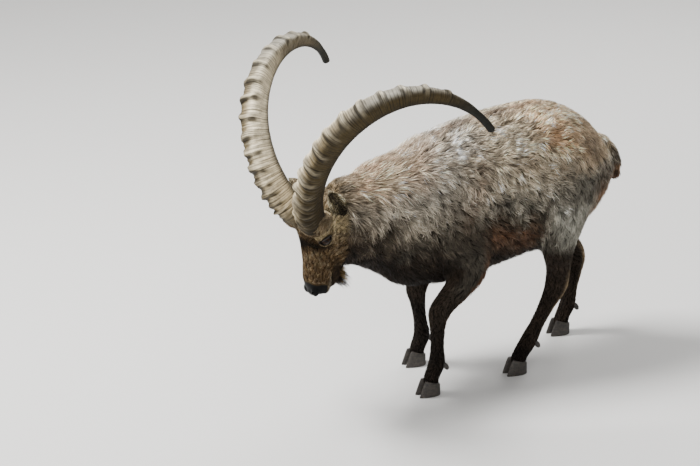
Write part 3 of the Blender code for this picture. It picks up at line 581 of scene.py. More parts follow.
# Places on the head, as down the face, towards the forehead and to the side
HEAD_PRESSES = [
    ((0.098, -0.036, 0.050), 0.018, -0.0045),
    ((0.084, -0.074, 0.058), 0.018, 0.0035),
    ((0.020, -0.090, 0.064), 0.016, -0.0020),
    ((0.150, 0.010, 0.016), 0.022, -0.0012),
    ((0.216, -0.030, 0.038), 0.011, -0.0036),
    ((0.095, -0.115, 0.044), 0.030, 0.0030),
    ((0.140, -0.060, 0.048), 0.020, -0.0030),
    ((0.254, -0.008, 0.0), 0.005, -0.0012),
    ((0.261, -0.026, 0.0), 0.005, -0.0014),
    ((0.262, -0.044, 0.0), 0.005, -0.0012),
]
# Round forms on each side of the head: the place of the middle, and the reach, half width and half depth
HEAD_EGGS = [
    ("cheek", (0.072, -0.096, 0.034), (0.068, 0.027, 0.048)),
    ("brow", (0.032, -0.020, 0.056), (0.034, 0.024, 0.027)),
    ("orbit", EYE_PLACE, (0.025, 0.0215, 0.025)),
    ("boss", (0.004, -0.010, 0.044), (0.044, 0.046, 0.054)),
    ("wing", (0.238, -0.015, 0.0205), (0.020, 0.0145, 0.014)),
    ("upper_lip", (0.220, -0.048, 0.024), (0.037, 0.017, 0.019)),
    ("jaw", (0.182, -0.092, 0.018), (0.050, 0.017, 0.017)),
]
# The same for the forms in the middle of the face
MIDDLE_EGGS = [
    ("chin", (0.222, -0.084, 0), (0.026, 0.024, 0.020)),
    ("nose", (0.240, -0.017, 0), (0.0215, 0.0200, 0.0155)),
]
# The middle of a nostril's opening, and how far the slit reaches in, across and along
NOSTRIL = (0.242, -0.004, 0.0205)
NOSTRIL_SIZE = (0.011, 0.0040, 0.0100)


def press(thing, presses):
    """Moves skin in or out around each place, as a thumb does in clay."""
    points, normals = numbers(thing)
    moved = np.zeros(len(points))
    for place, size, push in presses:
        distance = ((points - np.array(place)) ** 2).sum(1)
        moved += push * np.exp(-distance / size**2)
    move_points(thing, points + normals * moved[:, None])


def both_sides(presses, axis):
    """Each press twice, mirrored along the axis of its place that runs from side to side."""
    mirrored = []
    for place, size, push in presses:
        for _, sign in SIDES:
            spot = list(place)
            spot[axis] *= sign
            mirrored.append((spot, size, push))
    return mirrored


# %% Depth of the coat, and the rest of its shape
# Length, width and lift of a tuft, how deep the skin lies under its tip, tufts on a square centimetre,
# and the width of a clump
COATS = {
    "trunk": (0.034, 0.0028, 0.0092, 0.0100, 5.5, 0.017),
    "neck": (0.046, 0.0029, 0.0120, 0.0140, 5.6, 0.019),
    "head": (0.0115, 0.0015, 0.0030, 0.0030, 19.0, 0.008),
    "tail": (0.039, 0.0026, 0.0110, 0.0060, 12.0, 0.010),
    "upper_leg": (0.026, 0.0028, 0.0062, 0.0070, 6.5, 0.014),
    "lower_leg": (0.0135, 0.0021, 0.0028, 0.0030, 9.5, 0.008),
    "ear": (0.0100, 0.0014, 0.0016, 0.0, 25.0, 0.006),
}
LENGTH, WIDTH, LIFT, DEPTH, COUNT, CLUMP = range(6)


def coat_shape(points, normals, weights, shares):
    """The coat's length, width, lift, depth, count and clump at each point."""
    shape = np.zeros((6, len(points)))
    for name, weight in weights.items():
        if name in LEGS:
            down = smooth(shares[name], 0.20, 0.46)
            upper, lower = np.array(COATS["upper_leg"]), np.array(COATS["lower_leg"])
            shape += weight * (upper[:, None] * (1 - down) + lower[:, None] * down)
        else:
            kind = "ear" if name.startswith("ear") else name
            shape += weight * np.array(COATS[kind])[:, None]
    x, z = points[:, 0], points[:, 2]
    nx, nz = normals[:, 0], normals[:, 2]
    neck = weights["neck"] + weights["trunk"] * (1 - smooth(x, -0.10, 0.02))
    trunk = weights["trunk"]
    front = weights["front_left"] + weights["front_right"]
    rear = weights["rear_left"] + weights["rear_right"]
    nape = neck * smooth(nz, 0.35, 0.8) * smooth(x, -0.44, -0.36) * (1 - smooth(x, -0.10, -0.02))
    throat = neck * smooth(-nz, 0.25, 0.7)
    belly = trunk * smooth(-nz, 0.3, 0.8) * smooth(x, 0.02, 0.12)
    breech = (trunk + rear) * smooth(nx, 0.2, 0.7) * smooth(x, 0.48, 0.54) * hump(z, 0.56, 0.11)
    elbow = front * smooth(nx, 0.2, 0.7) * hump(z, 0.41, 0.085)
    for amount, longer, higher in (
        (nape, 0.026, 0.010),
        (throat, 0.020, 0.009),
        (belly, 0.018, 0.008),
        (breech, 0.018, 0.006),
        (elbow, 0.022, 0.006),
    ):
        shape[LENGTH] += amount * longer
        shape[LIFT] += amount * higher
    down, brow, _ = face_places(points)
    head = weights["head"]
    muzzle = head * smooth(down, 0.13, 0.21)
    eye = sum(np.exp(-(((points - np.array(eye_centre(sign))) ** 2).sum(1)) / 0.028**2) for _, sign in SIDES)
    fine = np.clip(muzzle + eye, 0, 1)
    for part in (LENGTH, WIDTH, LIFT, DEPTH):
        shape[part] *= 1 - (0.52, 0.30, 0.45, 0.55)[part] * fine
    shape[COUNT] *= 1 + 0.5 * fine
    poll = head * (1 - smooth(down, 0.010, 0.055)) * smooth(brow, -0.08, -0.02)
    jaw = head * smooth(-brow, 0.09, 0.13)
    shape[LENGTH] += (0.012 * poll + 0.010 * jaw) * (1 - fine)
    shape[LIFT] += (0.003 * poll + 0.002 * jaw) * (1 - fine)
    return shape


def sink(thing):
    """Moves the skin inward by the coat's depth."""
    points, normals = numbers(thing)
    weights, shares = regions_of(points)
    depth = coat_shape(points, normals, weights, shares)[DEPTH]
    move_points(thing, points - normals * depth[:, None])


# %% The body's skin
BODY_VOXEL = 0.0068
HEAD_VOXEL = 0.0025


def body_skin():
    forms = [
        loft("trunk", TORSO, UP, sides=40, square=2.15),
        loft("neck", NECK, UP, sides=36),
    ]
    for name, rows in LEGS.items():
        forms.append(loft(name, rows, FORWARD))
    body = melt("skin", forms, BODY_VOXEL, rounds=9)
    press(body, both_sides(BODY_PRESSES, 1))
    sink(body)
    return body


skin = body_skin()
print("body skin:", len(skin.data.polygons), "faces", after())

# %% [markdown]
# ## The head
# The skull is one loft down the face. Eggs add the cheeks, the rims of the eyes, the swellings that
# the horns grow from, the wings of the nostrils, the lips and the chin. Then come the cuts: a round
# socket for each eye with an almond-shaped opening, the nostrils, and one thin wedge all round the
# front for the line of the mouth.

# %% Forms of the head


def head_forms():
    forms = [loft("skull", SKULL_ROWS, BROW, steps=4, sides=32, square=2.15)]
    for name, (down, brow, aside), sizes in HEAD_EGGS:
        for _, sign in SIDES:
            forms.append(egg(name, on_head(down, brow, sign * aside), FACE, BROW, *sizes))
    for name, place, sizes in MIDDLE_EGGS:
        forms.append(egg(name, on_head(*place), FACE, BROW, *sizes))
    forms.append(loft("neck_end", NECK[4:], UP, sides=36))
    return forms


def eye_axes(sign):
    """The way an eye looks, the long way of its opening and the short way."""
    look = (sign * RIGHT * 0.90 + BROW * 0.42).normalized()
    long_way = FACE * 0.42 + BROW * 0.90
    long_way = (long_way - long_way.dot(look) * look).normalized()
    return look, long_way, look.cross(long_way)


def eye_opening(sign):
    """An almond-shaped cutter that opens the lids outward from the eye's middle."""
    centre = eye_centre(sign)
    look, long_way, short_way = eye_axes(sign)
    rings = []
    for out, grow in ((0.003, 0.30), (EYE_RADIUS, 1.0), (0.030, 1.7)):
        ring = []
        for j in range(32):
            turn = 2 * math.pi * j / 32
            wide = math.cos(turn) * EYE_OPEN[0] * grow
            high = math.sin(turn) * abs(math.sin(turn)) ** 0.35 * EYE_OPEN[1] * grow
            ring.append(centre + look * out + long_way * wide + short_way * high)
        rings.append(ring)
    return rings_to_object("opening", rings)


MOUTH_SPOTS = 36


def mouth_line():
    """A thin wedge along the parting of the lips, from corner to corner round the front."""
    half = [(0.249, -0.062, 0.024), (0.222, -0.069, 0.039), (0.190, -0.075, 0.045), (0.166, -0.078, 0.047)]
    path = [(down, brow, -side) for down, brow, side in reversed(half)]
    path += [(0.258, -0.057, -0.010), (0.258, -0.057, 0.010)] + half
    path = [on_head(*row) for row in path]
    spots = [Vector(between(path, i / (MOUTH_SPOTS - 1)).tolist()) for i in range(MOUTH_SPOTS)]
    rings = []
    for i, spot in enumerate(spots):
        along = spots[min(i + 1, len(spots) - 1)] - spots[max(i - 1, 0)]
        inward = on_head(0.190, -0.070, 0) - spot
        rings.append(ring_at(spot, along, inward, 0.0020, 0.009, 0.012, 10))
    return rings_to_object("mouth", rings)


def head_skin():
    head = melt("head_skin", head_forms(), HEAD_VOXEL, rounds=6)
    press(head, [(on_head(*place), size, push) for place, size, push in both_sides(HEAD_PRESSES, 2)])
    sink(head)
    for _, sign in SIDES:
        cut(head, egg("socket", eye_centre(sign), FACE, BROW, *(EYE_RADIUS + 0.0004,) * 3))
        cut(head, eye_opening(sign))
        nostril = on_head(NOSTRIL[0], NOSTRIL[1], sign * NOSTRIL[2])
        inward = FACE * 0.30 - BROW * 0.85 - sign * RIGHT * 0.20
        cut(head, egg("nostril", nostril, inward, FACE * 0.75 - sign * RIGHT * 0.60, *NOSTRIL_SIZE))
    return cut(head, mouth_line())


head = head_skin()
print("head skin:", len(head.data.polygons), "faces", after())

# %% [markdown]
# ## The ears
# An ear is a leaf with a cupped front. Its wall is thick at the root, where it runs into the head,
# and thin at the rim. Its rings run across the leaf, with the cup's points first and the back's after.

# %% Ears
EAR_RINGS = 40
EAR_ARC = 14


def make_ear(sign):
    root, along, look, across = ear_axes(sign)
    arc = [-1 + 2 * k / EAR_ARC for k in range(EAR_ARC + 1)]
    rings = []
    for i in range(EAR_RINGS + 1):
        t = i / EAR_RINGS
        rising = 0.50 + 0.50 * math.sin(math.pi / 2 * min(t / 0.45, 1))
        falling = 1 - max(0, (t - 0.45) / 0.57) ** 2.0
        half = EAR_HALF_WIDTH * rising * falling
        cup = 0.70 * half * min(1.0, t / 0.25)
        wall = 0.0046 * (1 - 0.5 * t) + 0.014 * (1 - t) ** 5
        spine = root + along * EAR_LENGTH * t - look * 0.012 * math.sin(math.pi * t)
        ring = [spine + across * half * a + look * (cup * a * a - wall / 2 * (1.15 - a * a)) for a in arc]
        ring += [
            spine + across * half * a * 0.93 + look * (cup * a * a + wall / 2 * (1.15 - a * a))
            for a in reversed(arc[1:-1])
        ]
        rings.append(ring)
    tip = root + along * EAR_LENGTH * 1.02 - look * 0.002
    return rings_to_object("ear", rings, None, tip)


# %% One skin
cut(skin, head, "UNION")
cut(skin, loft("tail", TAIL, UP, steps=5, sides=20), "UNION")
for _, sign in SIDES:
    cut(skin, make_ear(sign), "UNION")
skin.name = "skin"
print("skin:", len(skin.data.polygons), "faces", after())

# %% [markdown]
# ## Unwrapping the skin
# The skin is unwrapped once. Each tuft of the coat will take its place on this same map from the
# spot where it grows, so coat and skin can share one picture of their colours.

# %% Unwrap
BAKE_MAP = "OFBake"


def unwrap(thing):
    thing.data.uv_layers.new(name=BAKE_MAP)
    only(thing)
    bpy.ops.object.mode_set(mode="EDIT")
    bpy.ops.mesh.select_all(action="SELECT")
    bpy.ops.uv.smart_project(angle_limit=math.radians(66), island_margin=0.002)
    bpy.ops.object.mode_set(mode="OBJECT")


unwrap(skin)
print("unwrapped", after())

# %% [markdown]
# ## Markings
# The colours are worked out from the place on the body, and both the skin and the coat ask the same
# function. An old buck in autumn is grey-brown with pale tips, tan on the rump, cream on the nape,
# nearly black on chest, belly and legs, with rust at the edges. Low on the body that dark is deepened
# further as painted shade. A few slow waves added together make the borders wander, as they do on a
# real coat.

# %% Palette and markings
TONES = {
    "beige": (0.470, 0.385, 0.270),
    "flank": (0.155, 0.142, 0.112),
    "shoulder": (0.040, 0.029, 0.019),
    "shoulder_grey": (0.340, 0.310, 0.262),
    "withers": (0.640, 0.590, 0.510),
    "rump": (0.690, 0.500, 0.310),
    "orange": (0.400, 0.195, 0.075),
    "rust": (0.110, 0.042, 0.016),
    "cream": (0.640, 0.500, 0.330),
    "nape": (0.400, 0.262, 0.165),
    "neck": (0.270, 0.225, 0.165),
    "dark": (0.011, 0.008, 0.006),
    "haunch": (0.088, 0.080, 0.064),
    "thigh": (0.330, 0.320, 0.270),
    "shin": (0.028, 0.020, 0.014),
    "stripe": (0.340, 0.245, 0.140),
    "face": (0.112, 0.066, 0.026),
    "cheek": (0.430, 0.335, 0.180),
    "band": (0.010, 0.007, 0.004),
    "forehead": (0.175, 0.122, 0.062),
    "nose": (0.002, 0.002, 0.002),
    "lip": (0.240, 0.205, 0.150),
    "jaw": (0.032, 0.022, 0.014),
    "ear_back": (0.190, 0.145, 0.085),
    "ear_cup": (0.012, 0.009, 0.006),
    "ear_hair": (0.150, 0.118, 0.060),
    "ear_rim": (0.560, 0.490, 0.330),
    "pale_tip": (0.700, 0.635, 0.520),
    "tail": (0.030, 0.019, 0.013),
}
TONES = {name: np.array(tone) for name, tone in TONES.items()}


def waves(points, size, seed):
    """A slow wandering value between about -1 and 1, from a few waves in fixed directions."""
    rng = np.random.default_rng(seed)
    total = np.zeros(len(points))
    for _ in range(7):
        way = rng.normal(size=3)
        way *= 2 * math.pi / (size * rng.uniform(0.7, 1.6)) / np.linalg.norm(way)
        total += np.sin(points @ way + rng.uniform(0, 2 * math.pi))
    return total / 2.6


def mottled(points, colours, amount):
    """Lighter and darker in patches of a hand's and of a finger's width."""
    patches = 0.15 * waves(points, 0.050, 41) + 0.12 * waves(points, 0.020, 42)
    return colours * np.exp(patches * amount)[:, None]


def in_layers(count, ground, layers):
    """One tone at all points, and the others laid over it in turn, by an amount from 0 to 1 at each point."""
    colours = np.tile(TONES[ground], (count, 1))
    for tone, amount in layers:
        amount = np.clip(amount, 0, 1)[:, None]
        colours = colours * (1 - amount) + TONES[tone] * amount
    return colours


def wander(points, reach, size, seeds):
    """The points moved a little by slow waves, so that no border between two tones is straight."""
    return points + reach * np.stack([waves(points, size, seed) for seed in seeds], 1)


def trunk_tones(points, normals):
    x, _, z = wander(points, 0.020, 0.13, (1, 2, 3)).T
    patch = waves(points, 0.075, 9)
    streak = 0.030 * waves(points * (1, 1, 0.35), 0.030, 13)
    low_edge = 0.570 + 0.085 * smooth(x, 0.04, 0.12)
    dark_height = 0.465 + 0.020 * (1 - smooth(x, 0.02, 0.16))
    warm = hump(x, 0.33, 0.085) * hump(z, 0.80, 0.065) + 0.7 * hump(x, 0.45, 0.07) * hump(z, 0.76, 0.04)
    fringe = hump(z, dark_height + 0.05, 0.030) * smooth(x, 0.05, 0.12) * (1 - smooth(x, 0.22, 0.32))
    spine = smooth(normals[:, 2], 0.55, 0.85) * hump(points[:, 1], 0, 0.026)
    breech = 1 - smooth(z, 0.62, 0.67)
    under = 1 - smooth(z + streak, low_edge - 0.08, low_edge)
    return in_layers(len(points), "beige", [
        ("flank", 1 - smooth(z, 0.62, 0.76)),
        ("shoulder_grey", hump(x, -0.09, 0.10) * smooth(z, 0.60, 0.70)),
        ("withers", hump(x, -0.01, 0.085) * smooth(z, 0.73, 0.79) * smooth(patch, -1.2, 0.4)),
        ("rust", 0.62 * hump(x - 0.25 * (z - 0.62), 0.035, 0.042) * hump(z, 0.66, 0.11)),
        ("shoulder", 0.80 * hump(x, -0.01, 0.12) * (1 - smooth(z, 0.53, 0.64))),
        ("rump", smooth(x, 0.24, 0.34) * smooth(z + 0.02 * patch, 0.70, 0.76)),
        ("orange", 0.75 * warm * smooth(patch, -0.9, 0.5)),
        ("haunch", hump(x, 0.44, 0.085) * (1 - smooth(z, 0.70, 0.75)) * smooth(z, 0.52, 0.60)),
        ("thigh", 0.85 * smooth(x, 0.33, 0.38) * (1 - smooth(z, 0.58, 0.63))),
        ("shoulder", 0.85 * hump(x - 0.3 * (z - 0.55), 0.300, 0.028) * (1 - smooth(z, 0.60, 0.70))),
        ("cream", 0.65 * smooth(x, 0.50, 0.55) * smooth(z, 0.70, 0.75)),
        ("haunch", 0.95 * smooth(x, 0.47, 0.51) * (1 - smooth(z, 0.69, 0.74))),
        ("shoulder", 0.45 * smooth(x, 0.49, 0.53) * (1 - smooth(z, 0.68, 0.72))),
        ("rust", 0.70 * smooth(x, 0.50, 0.56) * breech),
        ("orange", 0.45 * smooth(x, 0.52, 0.58) * smooth(patch, 0.1, 0.9) * breech),
        # Nearly black low on the body: the real dark coat of chest and belly, deepened as painted shade
        # beneath the body.
        ("shoulder", 0.96 * under * (1 - smooth(x, 0.27, 0.35))),
        ("dark", 0.95 * (1 - smooth(z + streak, dark_height - 0.03, dark_height + 0.05))),
        ("rust", 0.6 * fringe),
        ("rust", 0.65 * spine * smooth(x, -0.14, -0.06) * (1 - smooth(x, 0.30, 0.44))),
    ])


def neck_tones(points, normals):
    x, _, z = wander(points, 0.014, 0.10, (4, 5, 6)).T
    up = normals[:, 2]
    low = z + 0.026 * waves(points * (1, 1, 0.35), 0.026, 14) + 0.055 * smooth(x, -0.32, -0.15)
    top = smooth(up, 0.25, 0.75) * smooth(x, -0.42, -0.34)
    return in_layers(len(points), "neck", [
        ("shoulder_grey", 0.7 * hump(z, 0.69, 0.06) * smooth(x, -0.34, -0.24)),
        # Dark low on the neck: the real dark coat of throat and chest, deepened as painted shade beneath.
        ("shoulder", 0.94 * (1 - smooth(low, 0.605, 0.690))),
        # Dark right behind the jaw: painted shadow between head and neck.
        ("shoulder", 0.90 * hump(x, -0.390, 0.042) * (1 - smooth(z, 0.66, 0.73))),
        ("dark", 1 - smooth(low, 0.535, 0.625)),
        ("nape", 0.90 * top),
        ("cream", 0.75 * top * smooth(waves(points * (0.35, 1, 1), 0.035, 15), -0.2, 0.8)),
        ("orange", 0.45 * smooth(up, 0.5, 0.9) * smooth(x, -0.22, -0.12)),
        ("forehead", 0.4 * smooth(up, 0.2, 0.8) * (1 - smooth(x, -0.43, -0.37))),
    ])


def head_tones(points):
    down, brow, side = face_places(wander(points, 0.005, 0.04, (7, 8, 9)))
    wide = np.abs(side)
    patch = waves(points, 0.022, 10)
    under_eye = hump(down - 0.4 * (brow + 0.04), 0.094, 0.015) * hump(brow, -0.040, 0.030)
    layers = [
        ("jaw", 0.40 * smooth(patch, 0.1, 0.9)),
        ("cheek", 0.22 * smooth(-patch, 0.2, 1.0)),
        ("forehead", 1 - smooth(down, 0.02, 0.05)),
        ("cheek", 0.8 * hump(down, 0.020, 0.045) * smooth(-brow, 0.030, 0.060) * smooth(wide, 0.03, 0.05)),
        # A dark band from the bridge of the nose to the eye's inner corner: painted shadow under the brow.
        ("band", hump(down, 0.086, 0.019) * smooth(brow, -0.045, -0.012)),
        ("band", 0.75 * under_eye * smooth(wide, 0.02, 0.04)),
        # Darker under the jaw and the chin: painted shade.
        ("jaw", 0.92 * smooth(-brow, 0.080, 0.110) * smooth(down, 0.03, 0.09)),
        ("jaw", 0.95 * smooth(-brow, 0.068, 0.076) * smooth(down, 0.14, 0.19)),
    ]
    for sign in (-1, 1):
        look, long_way, short_way = (np.array(way) for way in eye_axes(sign))
        away = points - np.array(eye_centre(sign))
        ring = np.sqrt((away @ long_way / 1.45) ** 2 + (away @ short_way) ** 2)
        near = smooth(away @ look, 0.0, 0.008)
        layers += [
            ("cheek", 0.90 * near * hump(ring, 0.0225, 0.0062)),
            ("nose", near * (1 - smooth(ring, 0.0125, 0.0155))),
        ]
    layers += [
        ("lip", 0.85 * hump(brow, -0.057, 0.006) * smooth(down, 0.185, 0.205)),
        ("band", hump(brow, -0.069, 0.006) * smooth(down, 0.16, 0.19)),
        ("nose", bare_nose(points)),
    ]
    return in_layers(len(points), "face", layers)


def bare_nose(points):
    """Where the skin of the nose is bare: round the nostrils and between them."""
    down, brow, side = face_places(points)
    top = 0.207 + 0.55 * np.maximum(np.abs(side) - 0.018, 0)
    return smooth(down, top - 0.003, top + 0.004) * smooth(brow, -0.054, -0.047)


def leg_tones(name, points, normals):
    z = points[:, 2] + 0.020 * waves(points, 0.09, 11)
    back = normals[:, 0]
    foot = ("dark", 1 - smooth(z, 0.05, 0.09))
    if name.startswith("front"):
        return in_layers(len(points), "shoulder", [
            ("shin", 1 - smooth(z, 0.40, 0.54)),
            # A greyer brown on the sides of the upper foreleg: a painted highlight.
            ("haunch", 0.55 * smooth(np.abs(normals[:, 1]), 0.45, 0.95) * hump(z, 0.46, 0.12)),
            ("rust", 0.85 * smooth(back, 0.20, 0.65) * hump(z, 0.40, 0.12)),
            ("dark", 0.7 * (1 - smooth(z, 0.22, 0.30))),
            foot,
        ])
    return in_layers(len(points), "thigh", [
        ("haunch", 0.9 * smooth(z, 0.57, 0.63)),
        ("rust", 0.8 * smooth(back, 0.3, 0.8) * smooth(z, 0.48, 0.56)),
        ("shoulder", 0.8 * smooth(-back, 0.2, 0.7) * smooth(z, 0.40, 0.46)),
        ("shin", 1 - smooth(z, 0.405, 0.505)),
        ("stripe", 0.85 * smooth(back, 0.10, 0.60) * hump(z, 0.27, 0.075)),
        foot,
    ])


def tail_tones(points):
    """Dark, with a fringe of tan on each side and cream where it leaves the rump."""
    _, y, z = points.T
    return in_layers(len(points), "tail", [
        ("orange", 0.8 * smooth(np.abs(y), 0.012, 0.022) * smooth(z, 0.60, 0.66)),
        ("cream", 0.8 * smooth(z, 0.68, 0.72)),
    ])


def ear_tones(points, normals, sign):
    """Tan behind, a cup darkened as painted shade in its hollow with a ridge of hair on each side of its
    middle, and a pale rim that is partly pale hair and partly a painted highlight.
    """
    root, along, look, across = (np.array(way) for way in ear_axes(sign))
    away = points - root
    t = away @ along / EAR_LENGTH
    aside = np.abs(away @ across)
    cup = smooth(normals @ look, 0.0, 0.35)
    edge = smooth(aside, 0.017, 0.023) + smooth(t, 0.84, 0.96)
    return in_layers(len(points), "ear_back", [
        ("ear_hair", cup),
        # Painted shade deep in the cup's hollow.
        ("ear_cup", cup * (1 - smooth(aside, 0.012, 0.018)) * (1 - smooth(t, 0.76, 0.92))),
        ("ear_hair", 0.8 * cup * hump(aside, 0.0085, 0.0030) * hump(t, 0.45, 0.30)),
        # The pale rim: partly pale hair, partly a painted highlight along the edge.
        ("ear_rim", 0.85 * edge * smooth(t, 0.30, 0.50)),
    ])


LEAST_SHARE = 1e-3


def markings(points, normals, weights):
    """The colour of the coat at each point. A region with less than a least share there has no say."""
    colours = np.zeros((len(points), 3))
    for name, weight in weights.items():
        near = weight > LEAST_SHARE
        if not near.any():
            continue
        p, n = points[near], normals[near]
        if name == "trunk":
            tones = trunk_tones(p, n)
        elif name == "neck":
            tones = neck_tones(p, n)
        elif name == "head":
            tones = head_tones(p)
        elif name == "tail":
            tones = tail_tones(p)
        elif name.startswith("ear"):
            tones = ear_tones(p, n, -1 if name.endswith("left") else 1)
        else:
            tones = leg_tones(name, p, n)
        colours[near] += tones * weight[near, None]
    colours /= sum(np.where(w > LEAST_SHARE, w, 0) for w in weights.values())[:, None]
    return mottled(points, colours, 1 - 0.5 * weights["head"])


def store_colours(mesh, colours):
    """Keeps a colour at each point of a mesh, for its material to read."""
    attribute = mesh.attributes.new("coat", "FLOAT_COLOR", "POINT")
    attribute.data.foreach_set("color", np.c_[colours, np.ones(len(colours))].astype(np.float32).ravel())


# The skin is painted much darker than the coat: partly the dark roots of the hair, partly painted shade deep
# under the coat.
UNDERCOAT_AND_SHADE = 0.24
skin_points, skin_normals = numbers(skin)
weights, _ = regions_of(skin_points)
bare = weights["head"] * bare_nose(skin_points)
skin_tones = markings(skin_points, skin_normals, weights)
store_colours(skin.data, skin_tones * (UNDERCOAT_AND_SHADE + (1 - UNDERCOAT_AND_SHADE) * bare)[:, None])
bareness = skin.data.attributes.new("bare", "FLOAT", "POINT")
bareness.data.foreach_set("value", bare.astype(np.float32))
print("painted", after())

# %% [markdown]
# ## The lie of the coat
# Hair grows backward from the nose. It runs up the face to the poll, back and down along the neck,
# along the spine, slanting down the flanks, and straight down the legs. At each root this way is
# pressed flat onto the skin, so that the tufts lie along the body.

# %% Lie


def flat_to(normals, ways):
    """The ways with what stands off the surface taken out, and of length 1."""
    ways = ways - (ways * normals).sum(1)[:, None] * normals
    return ways / np.maximum(np.linalg.norm(ways, axis=1), 1e-6)[:, None]


def lie_of_coat(points, normals, weights, shares):
    """The way the hair lies at each point, pressed flat onto the skin."""
    x = points[:, 0]
    steep = smooth(1 - normals[:, 2], 0.05, 0.9)
    rear = smooth(x, 0.46, 0.62)
    front = 1 - smooth(x, -0.14, 0.02)
    ways = np.zeros((len(points), 3))
    fall = 0.05 + 0.62 * steep + 0.9 * rear + 0.35 * front * steep
    flank = np.stack([1 - 0.35 * steep - 0.75 * rear, 0 * x, -fall], 1)
    ways += weights["trunk"][:, None] * flank
    neck = np.stack([0.92 - 0.30 * steep, 0 * x, -(0.02 + 0.86 * steep)], 1)
    ways += weights["neck"][:, None] * neck
    down, brow, _ = face_places(points)
    back = smooth(-brow, 0.045, 0.100)
    top = 1 - smooth(down, -0.02, 0.03)
    face = -np.array(FACE) * (1 - 0.55 * back - 0.3 * top)[:, None]
    face -= np.array(BROW) * (0.95 * back + 0.8 * top)[:, None]
    ways += weights["head"][:, None] * face
    for name, rows in {**LEGS, "tail": TAIL}.items():
        line = np.array([between(rows, t)[:3] for t in np.linspace(0, 1, LINE_STEPS)])
        tangent = np.gradient(line, axis=0)
        tangent /= np.linalg.norm(tangent, axis=1)[:, None]
        k = np.clip((shares[name] * (LINE_STEPS - 1)).astype(int), 0, LINE_STEPS - 1)
        ways += weights[name][:, None] * (tangent[k] + (0.18, 0, 0))
    for side_name, sign in SIDES:
        root, along, look, across = ear_axes(sign)
        away = points - np.array(root)
        inward = -np.sign(away @ np.array(across)) * smooth(normals @ np.array(look), 0.1, 0.5)
        way = np.array(along) + 0.8 * inward[:, None] * np.array(across)
        ways += weights[f"ear_{side_name}"][:, None] * way
    return flat_to(normals, ways)


# %% [markdown]
# ## Tufts
# One tuft is a thin spike with three edges, bent once or twice: a few hairs that cling together.
# Roots are scattered evenly over the skin. Neighbours belong to one clump and lean towards its
# middle, which leaves the small partings that make fur look soft. Each place along a tuft is
# dropped back onto the skin and lifted by the coat's height there, so a long tuft follows the form.

# %% Where tufts grow
SHORT_RINGS = (0.0, 0.5, 1.0)
LONG_RINGS = (0.0, 0.34, 0.68, 1.0)
LONG_TUFT = 0.040
ROOT_DEPTH = 0.0012
MOST_TUFTS = {3: 19500, 4: 12000}
HAIR_ENDS = 0.034
# Square centimetres in a square metre
SQUARE_CENTIMETRES = 1e4


def triangles_of(thing):
    """Corner points, corner normals, corner places on the bake map and areas of all triangles of a mesh."""
    mesh = thing.data
    mesh.calc_loop_triangles()
    count = len(mesh.loop_triangles)
    corners = np.empty(count * 3, np.int32)
    loops = np.empty(count * 3, np.int32)
    mesh.loop_triangles.foreach_get("vertices", corners)
    mesh.loop_triangles.foreach_get("loops", loops)
    points, normals = numbers(thing)
    places = np.empty(len(mesh.loops) * 2, np.float32)
    mesh.uv_layers[BAKE_MAP].uv.foreach_get("vector", places)
    corner_points = points[corners].reshape(-1, 3, 3)
    corner_places = places.reshape(-1, 2)[loops].reshape(-1, 3, 2)
    edge_a = corner_points[:, 1] - corner_points[:, 0]
    edge_b = corner_points[:, 2] - corner_points[:, 0]
    areas = np.linalg.norm(np.cross(edge_a, edge_b), axis=1) / 2
    return corner_points, normals[corners].reshape(-1, 3, 3), corner_places, areas


def spread(weight, count, rng):
    """Picks triangles evenly by their weight: one from each equal slice of the running total."""
    total = np.cumsum(weight)
    marks = (np.arange(count) + rng.random(count)) * total[-1] / count
    return np.searchsorted(total, marks).clip(0, len(weight) - 1)


def inside(corners, picked, rng):
    """A random place inside each picked triangle, for every list of corner values."""
    a, b = rng.random(len(picked)), rng.random(len(picked))
    over = a + b > 1
    a, b = np.where(over, 1 - a, a), np.where(over, 1 - b, b)
    shares_in = np.stack([1 - a - b, a, b], 1)
    return [(values[picked] * shares_in[:, :, None]).sum(1) for values in corners]


def bald(points, normals):
    """True where nothing grows: eyes and their lids' rims, nostrils, the bare nose, the mouth's inside."""
    down, brow, _ = face_places(points)
    none = bare_nose(points) > 0.35
    for sign in (-1, 1):
        look, long_way, short_way = (np.array(way) for way in eye_axes(sign))
        away = points - np.array(eye_centre(sign))
        ring = (away @ long_way / (EYE_OPEN[0] * 1.04)) ** 2 + (away @ short_way / (EYE_OPEN[1] * 1.10)) ** 2
        none |= (ring < 1) & (away @ look > -0.004)
        none |= np.linalg.norm(away, axis=1) < EYE_RADIUS + 0.0012
    inner = (np.abs(brow + 0.068) < 0.012) & (down > 0.16) & (down < 0.262)
    middle = np.array(on_head(0.19, -0.07, 0))
    none |= inner & (((points - middle) * normals).sum(1) < 0.004)
    none |= points[:, 2] < HAIR_ENDS
    return none


def seed_coat():
    """The roots of all tufts, with what each needs to know about its place."""
    rng = np.random.default_rng(20)
    corner_points, corner_normals, corner_places, areas = triangles_of(skin)
    middles, middle_normals = corner_points.mean(1), corner_normals.mean(1)
    middle_weights, middle_shares = regions_of(middles)
    crowd = coat_shape(middles, middle_normals, middle_weights, middle_shares)
    per_triangle = areas * SQUARE_CENTIMETRES * crowd[COUNT]
    picked = spread(per_triangle, int(per_triangle.sum()), rng)
    points, normals, places = inside((corner_points, corner_normals, corner_places), picked, rng)
    clump_weight = areas / crowd[CLUMP] ** 2
    clump_picked = spread(clump_weight, int(clump_weight.sum()), rng)
    clumps = inside((corner_points,), clump_picked, rng)[0]
    normals /= np.linalg.norm(normals, axis=1)[:, None]
    keep = ~bald(points, normals)
    return points[keep], normals[keep], places[keep], clumps


roots, root_normals, root_places, clumps = seed_coat()
print("tufts:", len(roots), "clumps:", len(clumps), after())

# %% Shape and colour of every tuft


